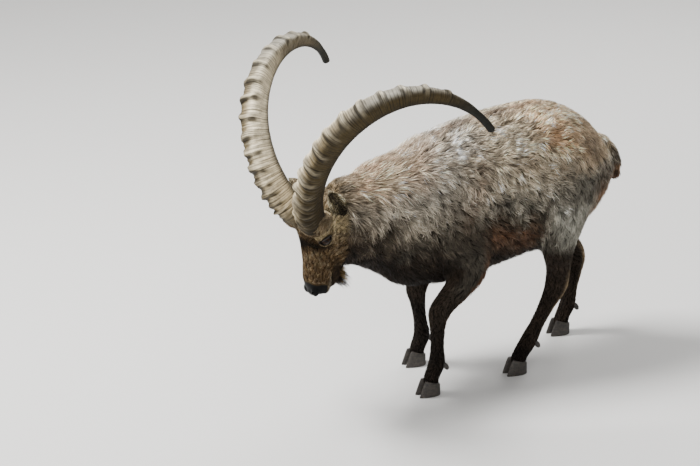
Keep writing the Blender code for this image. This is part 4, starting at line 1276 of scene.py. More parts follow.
def nearest_clumps(points, clumps):
    tree = KDTree(len(clumps))
    for i, place in enumerate(clumps):
        tree.insert(place, i)
    tree.balance()
    return np.array([tree.find(place)[1] for place in points.tolist()])


def onto_skin(tree, points):
    """The nearest place on the skin to each point, and the skin's direction there."""
    places, ways = np.empty_like(points), np.empty_like(points)
    for i, point in enumerate(points.tolist()):
        place, way, _, _ = tree.find_nearest(point)
        places[i], ways[i] = place, way
    return places, ways


def tuft_lines(tree, rings, roots, normals, lie, length, lift, lean):
    """Places along each tuft, ring by ring, and the surface's direction at each."""
    line, ways = [roots - normals * ROOT_DEPTH], [normals]
    for t in rings[1:]:
        flat = roots + lie * (length * t)[:, None] + lean * t**1.5
        place, way = onto_skin(tree, flat)
        way = way * 0.6 + normals * 0.4
        height = lift * (1.25 * t - 0.25 * t * t)
        line.append(place + way * height[:, None])
        ways.append(way)
    return np.array(line), np.array(ways)


# How dark a tuft is at its root: painted shade deep in the coat.
ROOT_TONE = 0.24
TONE_GAIN = 0.92
FULL_FROM = 0.7
PALE_FROM = 0.2
TONE_LIMITS = (0.003, 0.9)


def tuft_colours(rings, base, tip_share, shade):
    """Darker at the root as painted shade deep in the coat, the coat's own colour on the way, and paler where
    the tip is.
    """
    colours = []
    for t in rings:
        tone = base * (ROOT_TONE + TONE_GAIN * min(1.0, t / FULL_FROM))
        pale = (tip_share * max(0.0, (t - PALE_FROM) / (1 - PALE_FROM)))[:, None]
        tone = tone * (1 - pale) + TONES["pale_tip"] * pale
        colours.append(tone * shade[:, None])
    return np.clip(colours, *TONE_LIMITS)


# The share of its width that a tuft has at each ring, and half the side of its patch on the bake map
TUFT_TAPER = (0.62, 1.0, 0.72)
PATCH = 0.0014


def tuft_mesh(name, line, ways, lie, width, colours, places):
    """All tufts of a piece as one mesh of closed three-edged spikes."""
    count, levels = line.shape[1], len(line)
    side = np.cross(lie, ways[0])
    side /= np.linalg.norm(side, axis=1)[:, None]
    shape = TUFT_TAPER[: levels - 1]
    corners, tones, spots = [], [], []
    for i, wide in enumerate(shape):
        half = (width * wide / 2)[:, None]
        for across, up in ((-1, -0.25), (1, -0.25), (0, 0.5)):
            corners.append(line[i] + side * half * across + ways[i] * half * up)
            tones.append(colours[i])
            spots.append(places + np.array((across * PATCH, -PATCH + 2 * PATCH * i / (levels - 1))))
    corners.append(line[-1])
    tones.append(colours[-1])
    spots.append(places + np.array((0, PATCH)))
    corners, tones, spots = (np.stack(values, 1) for values in (corners, tones, spots))
    tip = 3 * len(shape)
    faces = [(0, 2, 1)]
    for i in range(len(shape) - 1):
        a = 3 * i
        faces += [(a, a + 1, a + 4, a + 3), (a + 1, a + 2, a + 5, a + 4), (a + 2, a, a + 3, a + 5)]
    a = tip - 3
    faces += [(a, a + 1, tip), (a + 1, a + 2, tip), (a + 2, a, tip)]
    pattern = np.array([k for face in faces for k in face])
    starts = np.cumsum([0] + [len(face) for face in faces[:-1]])
    points_each = tip + 1
    index = (pattern[None, :] + points_each * np.arange(count)[:, None]).ravel()
    loop_starts = (starts[None, :] + len(pattern) * np.arange(count)[:, None]).ravel()
    mesh = bpy.data.meshes.new(name)
    mesh.vertices.add(count * points_each)
    mesh.vertices.foreach_set("co", corners.astype(np.float32).ravel())
    mesh.loops.add(len(index))
    mesh.loops.foreach_set("vertex_index", index.astype(np.int32))
    mesh.polygons.add(len(loop_starts))
    mesh.polygons.foreach_set("loop_start", loop_starts.astype(np.int32))
    mesh.update(calc_edges=True)
    mesh.polygons.foreach_set("use_smooth", np.ones(len(loop_starts), bool))
    store_colours(mesh, tones.reshape(-1, 3))
    layer = mesh.uv_layers.new(name=BAKE_MAP)
    layer.uv.foreach_set("vector", spots.reshape(-1, 2)[index].astype(np.float32).ravel())
    made = bpy.data.objects.new(name, mesh)
    bpy.context.scene.collection.objects.link(made)
    return made


# The parts of the coat and the regions each covers
GROUPS = {
    "trunk": ["trunk"],
    "neck": ["neck"],
    "head": ["head"],
    "ears": ["ear_left", "ear_right"],
    "tail": ["tail"],
    "front_legs": ["front_left", "front_right"],
    "rear_legs": ["rear_left", "rear_right"],
}
PALE_TIPS = {"trunk": 0.75, "neck": 0.62, "head": 0.34, "tail": 0.15, "ear": 0.40, "leg": 0.12}
# How far tufts vary: the spread of their turn and shade, for a clump and within it, and ranges of their sizes
CLUMP_TURN, OWN_TURN = 0.30, 0.17
CLUMP_SHADE, OWN_SHADE = 0.36, 0.32
LENGTH_RANGE = (0.72, 1.25)
WIDTH_RANGE = (0.65, 1.25)
LIFT_RANGE = (0.55, 1.15)
CLUMP_LEAN = 0.80


def grow_coat():
    rng = np.random.default_rng(31)
    weights, shares = regions_of(roots)
    shape = coat_shape(roots, root_normals, weights, shares)
    lie = lie_of_coat(roots, root_normals, weights, shares)
    base = markings(roots, root_normals, weights)
    bright = np.linalg.norm(base, axis=1)
    tree = BVHTree.FromPolygons(
        skin_points.tolist(), [tuple(face.vertices) for face in skin.data.polygons], all_triangles=False
    )
    count = len(roots)
    clump = nearest_clumps(roots, clumps)
    clump_turn = rng.normal(0, CLUMP_TURN, len(clumps))[clump]
    clump_shade = np.exp(rng.normal(0, CLUMP_SHADE, len(clumps)))[clump]
    clump_pale = rng.beta(0.9, 1.6, len(clumps))[clump]
    curl = 0.20 * waves(roots, 0.10, 21) + 0.16 * waves(roots, 0.035, 22)
    turn = clump_turn + rng.normal(0, OWN_TURN, count) + curl * (1 - 0.6 * weights["head"])
    side = np.cross(root_normals, lie)
    lie = lie * np.cos(turn)[:, None] + side * np.sin(turn)[:, None]
    length = shape[LENGTH] * rng.uniform(*LENGTH_RANGE, count)
    width = shape[WIDTH] * rng.uniform(*WIDTH_RANGE, count)
    lift = shape[LIFT] * rng.uniform(*LIFT_RANGE, count)
    lean = clumps[clump] - roots
    lean -= (lean * lie).sum(1)[:, None] * lie + (lean * root_normals).sum(1)[:, None] * root_normals
    reach = np.linalg.norm(lean, axis=1)
    lean *= (CLUMP_LEAN * np.minimum(1, shape[CLUMP] / np.maximum(reach, 1e-6)))[:, None]
    pale_limit = sum(
        weight * PALE_TIPS["leg" if name in LEGS else "ear" if name.startswith("ear") else name]
        for name, weight in weights.items()
    )
    chance = 0.30 * rng.random(count) + 1.3 * clump_pale * rng.random(count)
    tips = np.clip(pale_limit * smooth(bright, 0.03, 0.20) * chance, 0, 0.90)
    shade = clump_shade * np.exp(rng.normal(0, OWN_SHADE, count))
    calm = sum(weight for name, weight in weights.items() if name in LEGS)
    shade = shade ** (1 - 0.55 * calm - 0.25 * weights["head"] + 0.35 * smooth(bright, 0.45, 0.90))
    region = np.array([REGIONS[k] for k in np.argmax([weights[name] for name in REGIONS], 0)])
    made = []
    for group, names in GROUPS.items():
        for levels, rings in ((3, SHORT_RINGS), (4, LONG_RINGS)):
            chosen = np.isin(region, names) & ((shape[LENGTH] > LONG_TUFT) == (levels == 4))
            order = np.flatnonzero(chosen)
            order = order[np.argsort(roots[order, 0], kind="stable")]
            parts = max(1, math.ceil(len(order) / MOST_TUFTS[levels]))
            for part, chunk in enumerate(np.array_split(order, parts)):
                if len(chunk) == 0:
                    continue
                own = [values[chunk] for values in (roots, root_normals, lie, length, lift, lean)]
                line, ways = tuft_lines(tree, rings, *own)
                colours = tuft_colours(rings, base[chunk], tips[chunk], shade[chunk])
                name = f"{'long' if levels == 4 else 'coat'}_{group}_{part + 1}"
                piece = tuft_mesh(name, line, ways, lie[chunk], width[chunk], colours, root_places[chunk])
                made.append((piece, group))
    return made, tree


coat, skin_tree = grow_coat()
print("coat:", len(coat), "pieces", sum(len(piece.data.polygons) for piece, _ in coat), "faces", after())

# %% [markdown]
# ## Horns
# The horn of an old buck is a long arc that leans outward. Its front is broad and carries a row of
# knobs, one or two for each year, and its back is narrower. Fine growth rings run all the way
# round. The line of the horn is walked in small steps, turning a little at each, and every ring of
# points is drawn round it. The bosses, rings and knobs are then part of the shape itself.

# %% Horn sizes
HORN_LENGTH = 0.93
HORN_HALF_WIDTH = 0.033
HORN_HALF_DEPTH = 0.043
HORN_BASE_OFFSET = 0.043
HORN_SUNK = 0.026
HORN_RISE = math.radians(58)
HORN_CURL = (1.87, 2.40, -1.02)
HORN_SPREAD = (0.49, 0.15, -0.33)
KNOBS = 15
KNOB_START = 0.050
KNOB_END = 0.80
KNOB_CROWDING = 1.3
KNOB_HEIGHT = 0.0128
TIP_FLATTER = 0.22
HORN_RINGS = 900
HORN_SIDES = 48
GROWTH_RINGS = (0.0042, 0.0105)
GROOVE_DEPTH = 0.0009
RIDGE = 0.0155
RIDGE_HEIGHT = 0.0022
BLUNT_TIP = 0.33
TIP_ROUNDED_FROM = 0.984
HORN_GIRTH = 0.22


def horn_line(count, sign):
    """Places, directions and front normals along one horn, from its sunk root to its tip."""
    line = []
    place = on_head(0, 0, sign * HORN_BASE_OFFSET)
    for i in range(count):
        s = i / (count - 1)
        turn = HORN_RISE + HORN_CURL[0] * s + HORN_CURL[1] * s**2 + HORN_CURL[2] * s**3
        out = HORN_SPREAD[0] + HORN_SPREAD[1] * s + HORN_SPREAD[2] * s**2
        along = (math.cos(turn) * BROW - math.sin(turn) * FACE + sign * out * RIGHT).normalized()
        front = math.sin(turn) * BROW + math.cos(turn) * FACE
        if i == 0:
            line.append((-HORN_SUNK / HORN_LENGTH, place - along * HORN_SUNK, along, front))
        line.append((s, place.copy(), along, front))
        place = place + along * (HORN_LENGTH / (count - 1))
    return line


def knob_places():
    """Shares of the horn's length where its knobs stand, closer together towards the head."""
    steps = np.linspace(0, 1, KNOBS)
    return KNOB_START + (KNOB_END - KNOB_START) * steps**KNOB_CROWDING


def make_horn(side, sign):
    rng = np.random.default_rng(4 if sign < 0 else 5)
    line = horn_line(HORN_RINGS, sign)
    s = np.array([max(row[0], 0) for row in line])
    taper = np.maximum((1 - s**3) ** 0.75, BLUNT_TIP)
    taper *= np.sqrt(1 - 0.94 * smooth(s, TIP_ROUNDED_FROM, 1.0) ** 2)
    taper[0] *= 0.78
    flat = 1 - TIP_FLATTER * np.clip((s - 0.5) / 0.35, 0, 1)
    turns = 2 * math.pi * (np.arange(HORN_SIDES) + 0.5) / HORN_SIDES
    c, sn = np.cos(turns), np.sin(turns)
    front = smooth(sn, 0.10, 0.62)
    corner = hump(sn, 0.55, 0.30) * np.sign(c)
    places = knob_places()
    knob = np.zeros((len(s), HORN_SIDES))
    for k, middle in enumerate(places):
        room = (places[min(k + 1, KNOBS - 1)] - places[max(k - 1, 0)]) / 2 * HORN_LENGTH
        reach = min(0.0105, 0.26 * room) * rng.uniform(0.85, 1.15)
        tall = KNOB_HEIGHT * min(1, 0.6 + 2.5 * middle) * (1 - 0.6 * middle) * rng.uniform(0.82, 1.15)
        tilt = 0.0045 * rng.normal() * c + 0.0022 * np.cos(2.4 * c + rng.uniform(0, 6))
        off = (s[:, None] - middle) * HORN_LENGTH + rng.normal(0, 0.0015) - tilt[None, :]
        off = off / np.where(off > 0, 0.80, 1.25)
        uneven = 0.80 + 0.24 * np.cos(math.pi * (c - 0.25 * rng.normal()) / 0.62)
        knob += tall * np.exp(-np.abs(off / reach) ** 2.6) * uneven
    height = s[:, None] * HORN_LENGTH
    bend = 0.0015 * np.sin(2 * turns + rng.uniform(0, 6)) + 0.0010 * np.sin(3 * turns + rng.uniform(0, 6))
    groove = np.zeros((len(s), HORN_SIDES))
    spot = 0.01
    while spot < 0.86 * HORN_LENGTH:
        far = (height - spot - bend * rng.uniform(0.4, 1.4)) / 0.0013
        patchy = 0.72 + 0.28 * np.sin(turns * rng.integers(1, 4) + rng.uniform(0, 6))
        groove += rng.uniform(0.45, 1.15) * patchy * np.exp(-(far**2))
        spot += rng.uniform(*GROWTH_RINGS)
    groove = np.minimum(groove, 1.1)
    drift = np.interp(height, np.linspace(0, 1, 50), rng.normal(0, 0.45, 50).cumsum())
    ridge = np.abs(np.sin(math.pi * (height + 2 * bend) / RIDGE + drift)) ** 2.2
    ridge = ridge * smooth(sn, -0.35, 0.45) * (1 - 0.80 * smooth(height, 0.18, 0.42))
    ridge = ridge * (1 - smooth(height, 0.70, 0.80))
    size = np.where(sn > 0, 1.06, 0.92) * HORN_HALF_WIDTH
    wide_power = np.where(sn > 0, 0.62, 0.80)
    deep_power = np.where(sn > 0, 0.66, 0.86)
    wide = np.sign(c) * np.abs(c) ** wide_power * size * taper[:, None]
    deep = np.sign(sn) * np.abs(sn) ** deep_power * HORN_HALF_DEPTH * (taper * flat)[:, None]
    swell = ridge * RIDGE_HEIGHT - groove * GROOVE_DEPTH
    deep = deep + knob * front + sn * swell
    wide = wide + 0.42 * knob * corner + c * swell
    rings = []
    for i, (_, place, along, ahead) in enumerate(line):
        across = along.cross(ahead).normalized()
        rings.append([place + across * wide[i, j] + ahead * deep[i, j] for j in range(HORN_SIDES)])
    tip = line[-1][1] + line[-1][2] * 0.002
    made = rings_to_object(f"horn_{side}_skin", rings, None, tip)
    only(made)
    bpy.ops.object.shade_smooth()
    horn_map(made, s, HORN_SIDES)
    paint_horn(made, s, knob, groove, ridge, c * sign, sn)
    return made


def horn_map(made, s, sides):
    """A map that runs round the horn and along it, in metres, for the pattern of its fibres."""
    layer = made.data.uv_layers.new(name="HornWay")
    loops = len(made.data.loops)
    index = np.empty(loops, np.int32)
    made.data.loops.foreach_get("vertex_index", index)
    ring, corner = np.divmod(index, sides)
    ring = np.minimum(ring, len(s) - 1)
    places = np.stack([corner / sides * HORN_GIRTH, s[ring] * HORN_LENGTH], 1)
    layer.uv.foreach_set("vector", places.astype(np.float32).ravel())


def paint_horn(made, s, knob, groove, ridge, inner, sn):
    """Beige inside as painted light, olive-brown outside as painted shade, pale on the knobs by wear and
    painted highlight, painted shadow beside them, and dark at the tip.
    """
    base = np.array((0.150, 0.112, 0.056))
    wear_and_highlight = np.array((0.560, 0.490, 0.350))
    pale = np.array((0.860, 0.745, 0.530))
    olive = np.array((0.036, 0.025, 0.009))
    grey = np.array((0.330, 0.315, 0.270))
    under = np.array((0.020, 0.016, 0.010))
    grime_and_shade = np.array((0.014, 0.011, 0.007))
    tip = np.array((0.018, 0.019, 0.017))
    s = s[:, None]

    def over(colours, tone, amount):
        amount = np.clip(np.broadcast_to(amount, colours.shape[:2]), 0, 1)[:, :, None]
        return colours * (1 - amount) + tone * amount

    colours = np.tile(base, (len(s), len(sn), 1))
    low = 1 - smooth(s, 0.06, 0.30)
    high = smooth(s, 0.45, 0.70)
    outer = smooth(-inner, -0.15, 0.70)[None, :]
    # Painted light and shade: the inner side is pale as if lit from above, the outer side olive as if in
    # shade.
    colours = over(colours, pale, 0.90 * smooth(inner, -0.1, 0.6)[None, :] * (1 - 0.6 * high))
    colours = over(colours, olive, (0.86 + 0.10 * low) * outer)
    colours = over(colours, olive, 0.65 * high * (1 - outer))
    colours = colours * (1 - low[:, :, None] * (0.38, 0.42, 0.50))
    # Paler crests on the ridges, partly wear and partly a painted highlight, with less on the outer side that
    # is painted as shaded.
    colours = over(colours, wear_and_highlight, 0.30 * ridge * (1 - 0.85 * outer))
    # A painted highlight: pale grey on the front face, about two thirds of the way up the horn.
    colours = over(colours, grey, 0.60 * hump(s, 0.64, 0.15) * smooth(sn, 0.2, 0.9)[None, :])
    # Painted shadow on the flanks of each knob, mostly on the side towards the root.
    rise = np.gradient(knob, axis=0) / (np.maximum(np.gradient(s, axis=0), 1e-6) * HORN_LENGTH)
    knob_shadow = smooth(rise, 0.10, 0.65) * smooth(sn, 0.1, 0.5)[None, :]
    knob_shadow += 0.5 * smooth(-rise, 0.25, 0.80) * smooth(sn, 0.1, 0.5)[None, :]
    knobs = smooth(knob, 0.0020, 0.0075) * smooth(sn, 0.0, 0.5)[None, :]
    # The knobs are paler too, partly wear and partly a painted highlight.
    colours = over(colours, wear_and_highlight, 0.55 * knobs * (1 - 0.75 * low) * (1 - 0.55 * outer))
    # Painted shade on the back of the horn, the underside of its curve.
    colours = over(colours, under, 0.85 * smooth(-sn, 0.10, 0.75)[None, :])
    colours = over(colours, grime_and_shade, 0.85 * knob_shadow)
    # Darker in the grooves of the growth rings and near the root.
    colours = over(colours, grime_and_shade, 0.90 * groove)
    colours = over(colours, grime_and_shade, 0.75 * (1 - smooth(s, 0.012, 0.05)))
    colours = over(colours, tip, 0.92 * smooth(s, 0.78, 0.92))
    colours = colours.reshape(-1, 3)
    store_colours(made.data, np.vstack([colours, tip[None, :]]))


horns = {side: make_horn(side, sign) for side, sign in SIDES}
print("horns:", len(horns["left"].data.polygons), "faces each", after())

# %% [markdown]
# ## Eyes and lids
# The eyeball is the sphere of the solids, at a finer grain and with the cornea's slight bulge. A
# goat's pupil is a bar that stays level however the head is held. Two dark rolls of skin, bent along
# the almond of the opening, close the lids against the ball, and lashes stand on the upper one.

# %% Eyeballs
PUPIL = (0.0062, 0.0026)
IRIS = 0.0112


def make_eye(side, sign):
    look, _, _ = eye_axes(sign)
    centre = eye_centre(sign)
    bpy.ops.mesh.primitive_uv_sphere_add(segments=112, ring_count=72, radius=EYE_RADIUS)
    made = bpy.context.object
    made.name = f"eye_{side}_ball"
    made.data.transform(Matrix.Translation(centre) @ look.to_track_quat("Z", "Y").to_matrix().to_4x4())
    only(made)
    bpy.ops.object.shade_smooth()
    points, normals = numbers(made)
    away = points - np.array(centre)
    out = away @ np.array(look)
    level = UP.cross(look).normalized()
    tall = look.cross(level)
    a, b = away @ np.array(level), away @ np.array(tall)
    disc = np.sqrt(a**2 + b**2)
    move_points(made, points + normals * (0.0009 * np.exp(-((disc / 0.008) ** 2)) * (out > 0))[:, None])
    pupil = (1 - smooth((a / PUPIL[0]) ** 4 + (b / PUPIL[1]) ** 4, 0.7, 1.3)) * (out > 0)
    iris = (1 - smooth(disc, IRIS * 0.93, IRIS * 1.04)) * (out > 0)
    rim = hump(disc, IRIS, 0.0012) * (out > 0)
    fibres = 0.75 + 0.25 * np.sin(np.arctan2(b, a) * 47 + 2.2 * np.sin(disc * 900))
    white = np.array((0.030, 0.018, 0.014))
    glow = 0.55 + 0.75 * smooth(disc, 0.003, 0.009)
    amber = np.array((0.030, 0.013, 0.006)) * fibres[:, None] * glow[:, None]
    dark = np.array((0.006, 0.005, 0.005))
    colours = white * (1 - iris)[:, None] + amber * iris[:, None]
    colours = colours * (1 - 0.85 * rim)[:, None] + dark * (0.85 * rim)[:, None]
    colours = colours * (1 - pupil)[:, None] + dark * pupil[:, None]
    store_colours(made.data, colours)
    return made


eyes = {side: make_eye(side, sign) for side, sign in SIDES}

# %% Lids and lashes
LID_SPOTS = 48
UPPER_LID = 0.0040
LOWER_LID = 0.0028


def lid_spot(sign, turn, out=0.0006):
    """A place on the eyeball along the rim of its opening."""
    look, long_way, short_way = eye_axes(sign)
    wide = math.cos(turn) * EYE_OPEN[0] * 0.93
    high = math.sin(turn) * abs(math.sin(turn)) ** 0.35 * EYE_OPEN[1] * 0.96
    radius = EYE_RADIUS + out
    deep = math.sqrt(max(radius**2 - wide**2 - high**2, (radius * 0.28) ** 2))
    return eye_centre(sign) + long_way * wide + short_way * high + look * deep


def upper_side(sign, turn):
    """1 on the upper lid and 0 on the lower: the upper one is on the side of the horn."""
    _, _, short_way = eye_axes(sign)
    above = short_way.dot(BROW - FACE * 0.9) * math.sin(turn)
    return min(1.0, max(0.0, 0.5 + 1.5 * above))


def make_lids(side, sign):
    look, _, _ = eye_axes(sign)
    rings = []
    for i in range(LID_SPOTS):
        turn = 2 * math.pi * i / LID_SPOTS
        spot = lid_spot(sign, turn)
        along = lid_spot(sign, turn + 0.05) - lid_spot(sign, turn - 0.05)
        up = upper_side(sign, turn)
        thick = LOWER_LID + (UPPER_LID - LOWER_LID) * up
        rings.append(ring_at(spot, along, look, thick, thick * 0.75, thick, 10))
    count = len(rings[0])
    points = [p for ring in rings for p in ring]
    faces = []
    for i in range(LID_SPOTS):
        n = (i + 1) % LID_SPOTS
        for j in range(count):
            k = (j + 1) % count
            faces.append((i * count + j, i * count + k, n * count + k, n * count + j))
    made = mesh_object(f"lids_{side}", points, faces)
    bpy.ops.object.shade_smooth()
    return made


lids = {side: make_lids(side, sign) for side, sign in SIDES}


def make_lashes():
    """A row of fine dark tufts along each upper lid."""
    rng = np.random.default_rng(8)
    root, lie, out = [], [], []
    for _, sign in SIDES:
        look, _, _ = eye_axes(sign)
        centre = eye_centre(sign)
        for turn in np.linspace(0, 2 * math.pi, 90, endpoint=False):
            if upper_side(sign, turn) < 0.8:
                continue
            spot = lid_spot(sign, turn, 0.0016)
            outward = (spot - centre - look * (spot - centre).dot(look)).normalized()
            root.append(spot)
            out.append(look)
            lie.append((outward * 0.8 + look * 0.7 + Vector(rng.normal(0, 0.12, 3))).normalized())
    root, lie, out = (np.array([tuple(v) for v in values]) for values in (root, lie, out))
    length = rng.uniform(0.007, 0.011, len(root))[:, None]
    line = np.array([root, root + lie * length * 0.5, root + lie * length + out * length * 0.12])
    ways = np.array([out] * 3)
    colours = np.tile(TONES["nose"] * 1.2, (3, len(root), 1))
    places = np.full((len(root), 2), 0.5)
    return tuft_mesh("lashes", line, ways, lie, np.full(len(root), 0.0008), colours, places)


lashes = make_lashes()
print("eyes done", after())

# %% [markdown]
# ## Beard
# The beard of a buck is a short dark brush on the chin. Its hairs grow backward from the jaw and then
# hang, so they aren't laid on the skin: each runs on its own bent line. Some are straw yellow.

# %% Beard
BEARD_TUFTS = 640
BEARD_LENGTH = 0.056
BEARD_START = 0.160
BEARD_END = 0.236


def make_beard():
    rng = np.random.default_rng(12)
    root, lie, out, along_chin = [], [], [], []
    while len(root) < BEARD_TUFTS:
        down = rng.uniform(BEARD_START, BEARD_END)
        side = rng.normal(0, 0.010)
        start = on_head(down, -0.16, side)
        place, normal, _, _ = skin_tree.ray_cast(start, BROW)
        if place is None or abs(side) > 0.022:
            continue
        way = Vector((0.95, 0, -0.18)) + RIGHT * side * 14 + Vector(rng.normal(0, 0.10, 3))
        root.append(tuple(place + BROW * 0.002))
        lie.append(tuple(way.normalized()))
        out.append(tuple(normal))
        along_chin.append((down - BEARD_START) / (BEARD_END - BEARD_START))
    root, lie, out = np.array(root), np.array(lie), np.array(out)
    count = len(root)
    full = hump(np.array(along_chin), 0.60, 0.45)
    length = BEARD_LENGTH * rng.uniform(0.6, 1.05, count) * (0.50 + 0.50 * full)
    hang = np.array([-0.20, 0, -0.80]) * rng.uniform(0.7, 1.2, count)[:, None]
    line = np.array([root + (lie * t + hang * t * t * 0.6) * length[:, None] for t in LONG_RINGS])
    ways = np.array([out] * 4)
    yellow = rng.random(count) < 0.65 - 0.75 * np.array(along_chin)
    base = np.where(yellow[:, None], np.array((0.34, 0.22, 0.085)), np.array((0.022, 0.015, 0.010)))
    colours = np.array([base * (0.5 + 0.6 * t) for t in LONG_RINGS])
    places = np.full((count, 2), 0.5)
    width = rng.uniform(0.0013, 0.0024, count)
    return tuft_mesh("beard", line, ways, flat_to(out, lie), width, colours, places)


beard = make_beard()

# %% [markdown]
# ## Hooves
# Each foot ends in two claws of dark horn with a flat sole, and two small dewclaws sit behind the
# fetlock. The top of a claw follows the sloped coronet, where the hair ends. A claw is a stack of
# rings from the sole up, a little wider in the middle of its wall.

# %% Claws
CLAW_HEIGHT = 0.046
CLAW_HALF_WIDTH = 0.0135
CLAW_FRONT = 0.050
CLAW_BACK = 0.026
CLAW_APART = 0.0146
CORONET_SLOPE = 0.28
CLAW_LEVELS = (0.0, 0.03, 0.08, 0.16, 0.28, 0.42, 0.58, 0.74, 0.88, 1.0)
CLAW_SPREADS = (0.955, 0.985, 1.0, 1.0, 1.0, 1.0, 1.0, 1.0, 1.0, 0.97)
CLAW_SIDES = 40


def make_claw(name, leg, sign):
    x0, y0 = LEGS[leg][-1][:2]
    rings = []
    for level, grow in zip(CLAW_LEVELS, CLAW_SPREADS):
        ring = []
        for j in range(CLAW_SIDES):
            turn = 2 * math.pi * j / CLAW_SIDES
            c, s = math.cos(turn), math.sin(turn)
            half = CLAW_HALF_WIDTH * (1 - 0.10 * level) * grow
            reach = CLAW_FRONT * (1 - 0.42 * level) if c > 0 else CLAW_BACK * (1 - 0.05 * level)
            ahead = c * reach * grow
            pointed = half * (1 - 0.35 * max(c, 0) ** 2)
            inward = 0.35 if s * sign < 0 else 1.0
            x = x0 - ahead
            y = y0 + sign * CLAW_APART + s * pointed * (0.8 + 0.2 * inward)
            top = CLAW_HEIGHT + CORONET_SLOPE * (x0 - x)
            ring.append(Vector((x, y, top * level)))
        rings.append(ring)
    made = rings_to_object(name, rings)
    only(made)
    bpy.ops.object.shade_smooth_by_angle(angle=math.radians(45))
    return made


def make_dewclaws(leg):
    rows = LEGS[leg]
    x, y, z = rows[-3][:3]
    back = rows[-3][5]
    made = []
    for sign in (-1, 1):
        place = Vector((x + back - 0.004, y + sign * 0.014, z - 0.012))
        along = Vector((0.55, 0, -0.83))
        claw = egg("dewclaw", place, along, UP, 0.016, 0.0088, 0.0088)
        made.append(claw)
    only(*made)
    bpy.ops.object.join()
    joined = bpy.context.object
    joined.name = f"dewclaws_{leg}"
    bpy.ops.object.shade_smooth()
    return joined


claws, dewclaws = {}, {}
for leg in LEGS:
    outward = -1 if leg.endswith("left") else 1
    for part, sign in (("outer", outward), ("inner", -outward)):
        claws[f"claw_{leg}_{part}"] = make_claw(f"hoof_{leg}_{part}", leg, sign)
    dewclaws[leg] = make_dewclaws(leg)
print("claws:", len(claws), "dewclaws:", 2 * len(dewclaws))

# %% [markdown]
# ## Finishes
# The painted colours come from the points of each mesh, and nodes add what is too fine for them:
# streaks in the hair, grain in the skin, fibres, rings and stains in the horn. A node's constants are
# set on the shader itself.

# %% Helpers for nodes


def painted(name, roughness, attribute="coat"):
    """A material whose colour starts from the mesh's own painted colours. Returns what nodes need."""
    material, shader = plain_material(name, (0.5, 0.5, 0.5), roughness)
    tree = material.node_tree
    colour = tree.nodes.new("ShaderNodeAttribute")
    colour.attribute_name = attribute
    return material, tree, shader, colour


def noise(tree, vector, scale, detail=3.0, roughness=0.6):
    made = tree.nodes.new("ShaderNodeTexNoise")
    made.inputs["Scale"].default_value = scale
    made.inputs["Detail"].default_value = detail
    made.inputs["Roughness"].default_value = roughness
    tree.links.new(vector, made.inputs["Vector"])
    return made.outputs["Fac"]


def stretched(tree, source, scale):
    """The same places, stretched along one of their directions, so that a pattern becomes streaks."""
    mapping = tree.nodes.new("ShaderNodeMapping")
    mapping.inputs["Scale"].default_value = scale
    tree.links.new(source, mapping.inputs["Vector"])
    return mapping.outputs["Vector"]


def ranged(tree, value, low, high, to_low, to_high):
    made = tree.nodes.new("ShaderNodeMapRange")
    for name, number in (("From Min", low), ("From Max", high), ("To Min", to_low), ("To Max", to_high)):
        made.inputs[name].default_value = number
    tree.links.new(value, made.inputs["Value"])
    return made.outputs["Result"]


def scaled(tree, colour, factor):
    """A colour made darker or lighter by a factor that varies from place to place."""
    made = tree.nodes.new("ShaderNodeVectorMath")
    made.operation = "SCALE"
    tree.links.new(colour, made.inputs[0])
    tree.links.new(factor, made.inputs["Scale"])
    return made.outputs["Vector"]


def bumped(tree, shader, height, strength, distance):
    made = tree.nodes.new("ShaderNodeBump")
    made.inputs["Strength"].default_value = strength
    made.inputs["Distance"].default_value = distance
    tree.links.new(height, made.inputs["Height"])
    tree.links.new(made.outputs["Normal"], shader.inputs["Normal"])


def object_places(tree):
    return tree.nodes.new("ShaderNodeTexCoord").outputs["Object"]


# %% Hair, skin, horn, hoof and eye


def hair_finish():
    material, tree, shader, colour = painted("hair", 0.62)
    places = object_places(tree)
    fine = ranged(tree, noise(tree, places, 420.0, 2.0), 0.3, 0.7, 0.82, 1.18)
    broad = ranged(tree, noise(tree, places, 26.0, 3.0), 0.3, 0.7, 0.90, 1.10)
    tone = scaled(tree, scaled(tree, colour.outputs["Color"], fine), broad)
    tree.links.new(tone, shader.inputs["Base Color"])
    shader.inputs["Specular IOR Level"].default_value = 0.10
    return material


def skin_finish():
    material, tree, shader, colour = painted("skin", 0.8)
    places = object_places(tree)
    grain = noise(tree, stretched(tree, places, (90, 260, 130)), 3.0, 4.0)
    tone = scaled(tree, colour.outputs["Color"], ranged(tree, grain, 0.3, 0.7, 0.75, 1.25))
    tree.links.new(tone, shader.inputs["Base Color"])
    bare = tree.nodes.new("ShaderNodeAttribute")
    bare.attribute_name = "bare"
    tree.links.new(ranged(tree, bare.outputs["Fac"], 0, 1, 0.85, 0.50), shader.inputs["Roughness"])
    pores = tree.nodes.new("ShaderNodeTexVoronoi")
    pores.inputs["Scale"].default_value = 620.0
    tree.links.new(places, pores.inputs["Vector"])
    bumped(tree, shader, pores.outputs["Distance"], 0.35, 0.0006)
    shader.inputs["Specular IOR Level"].default_value = 0.08
    return material


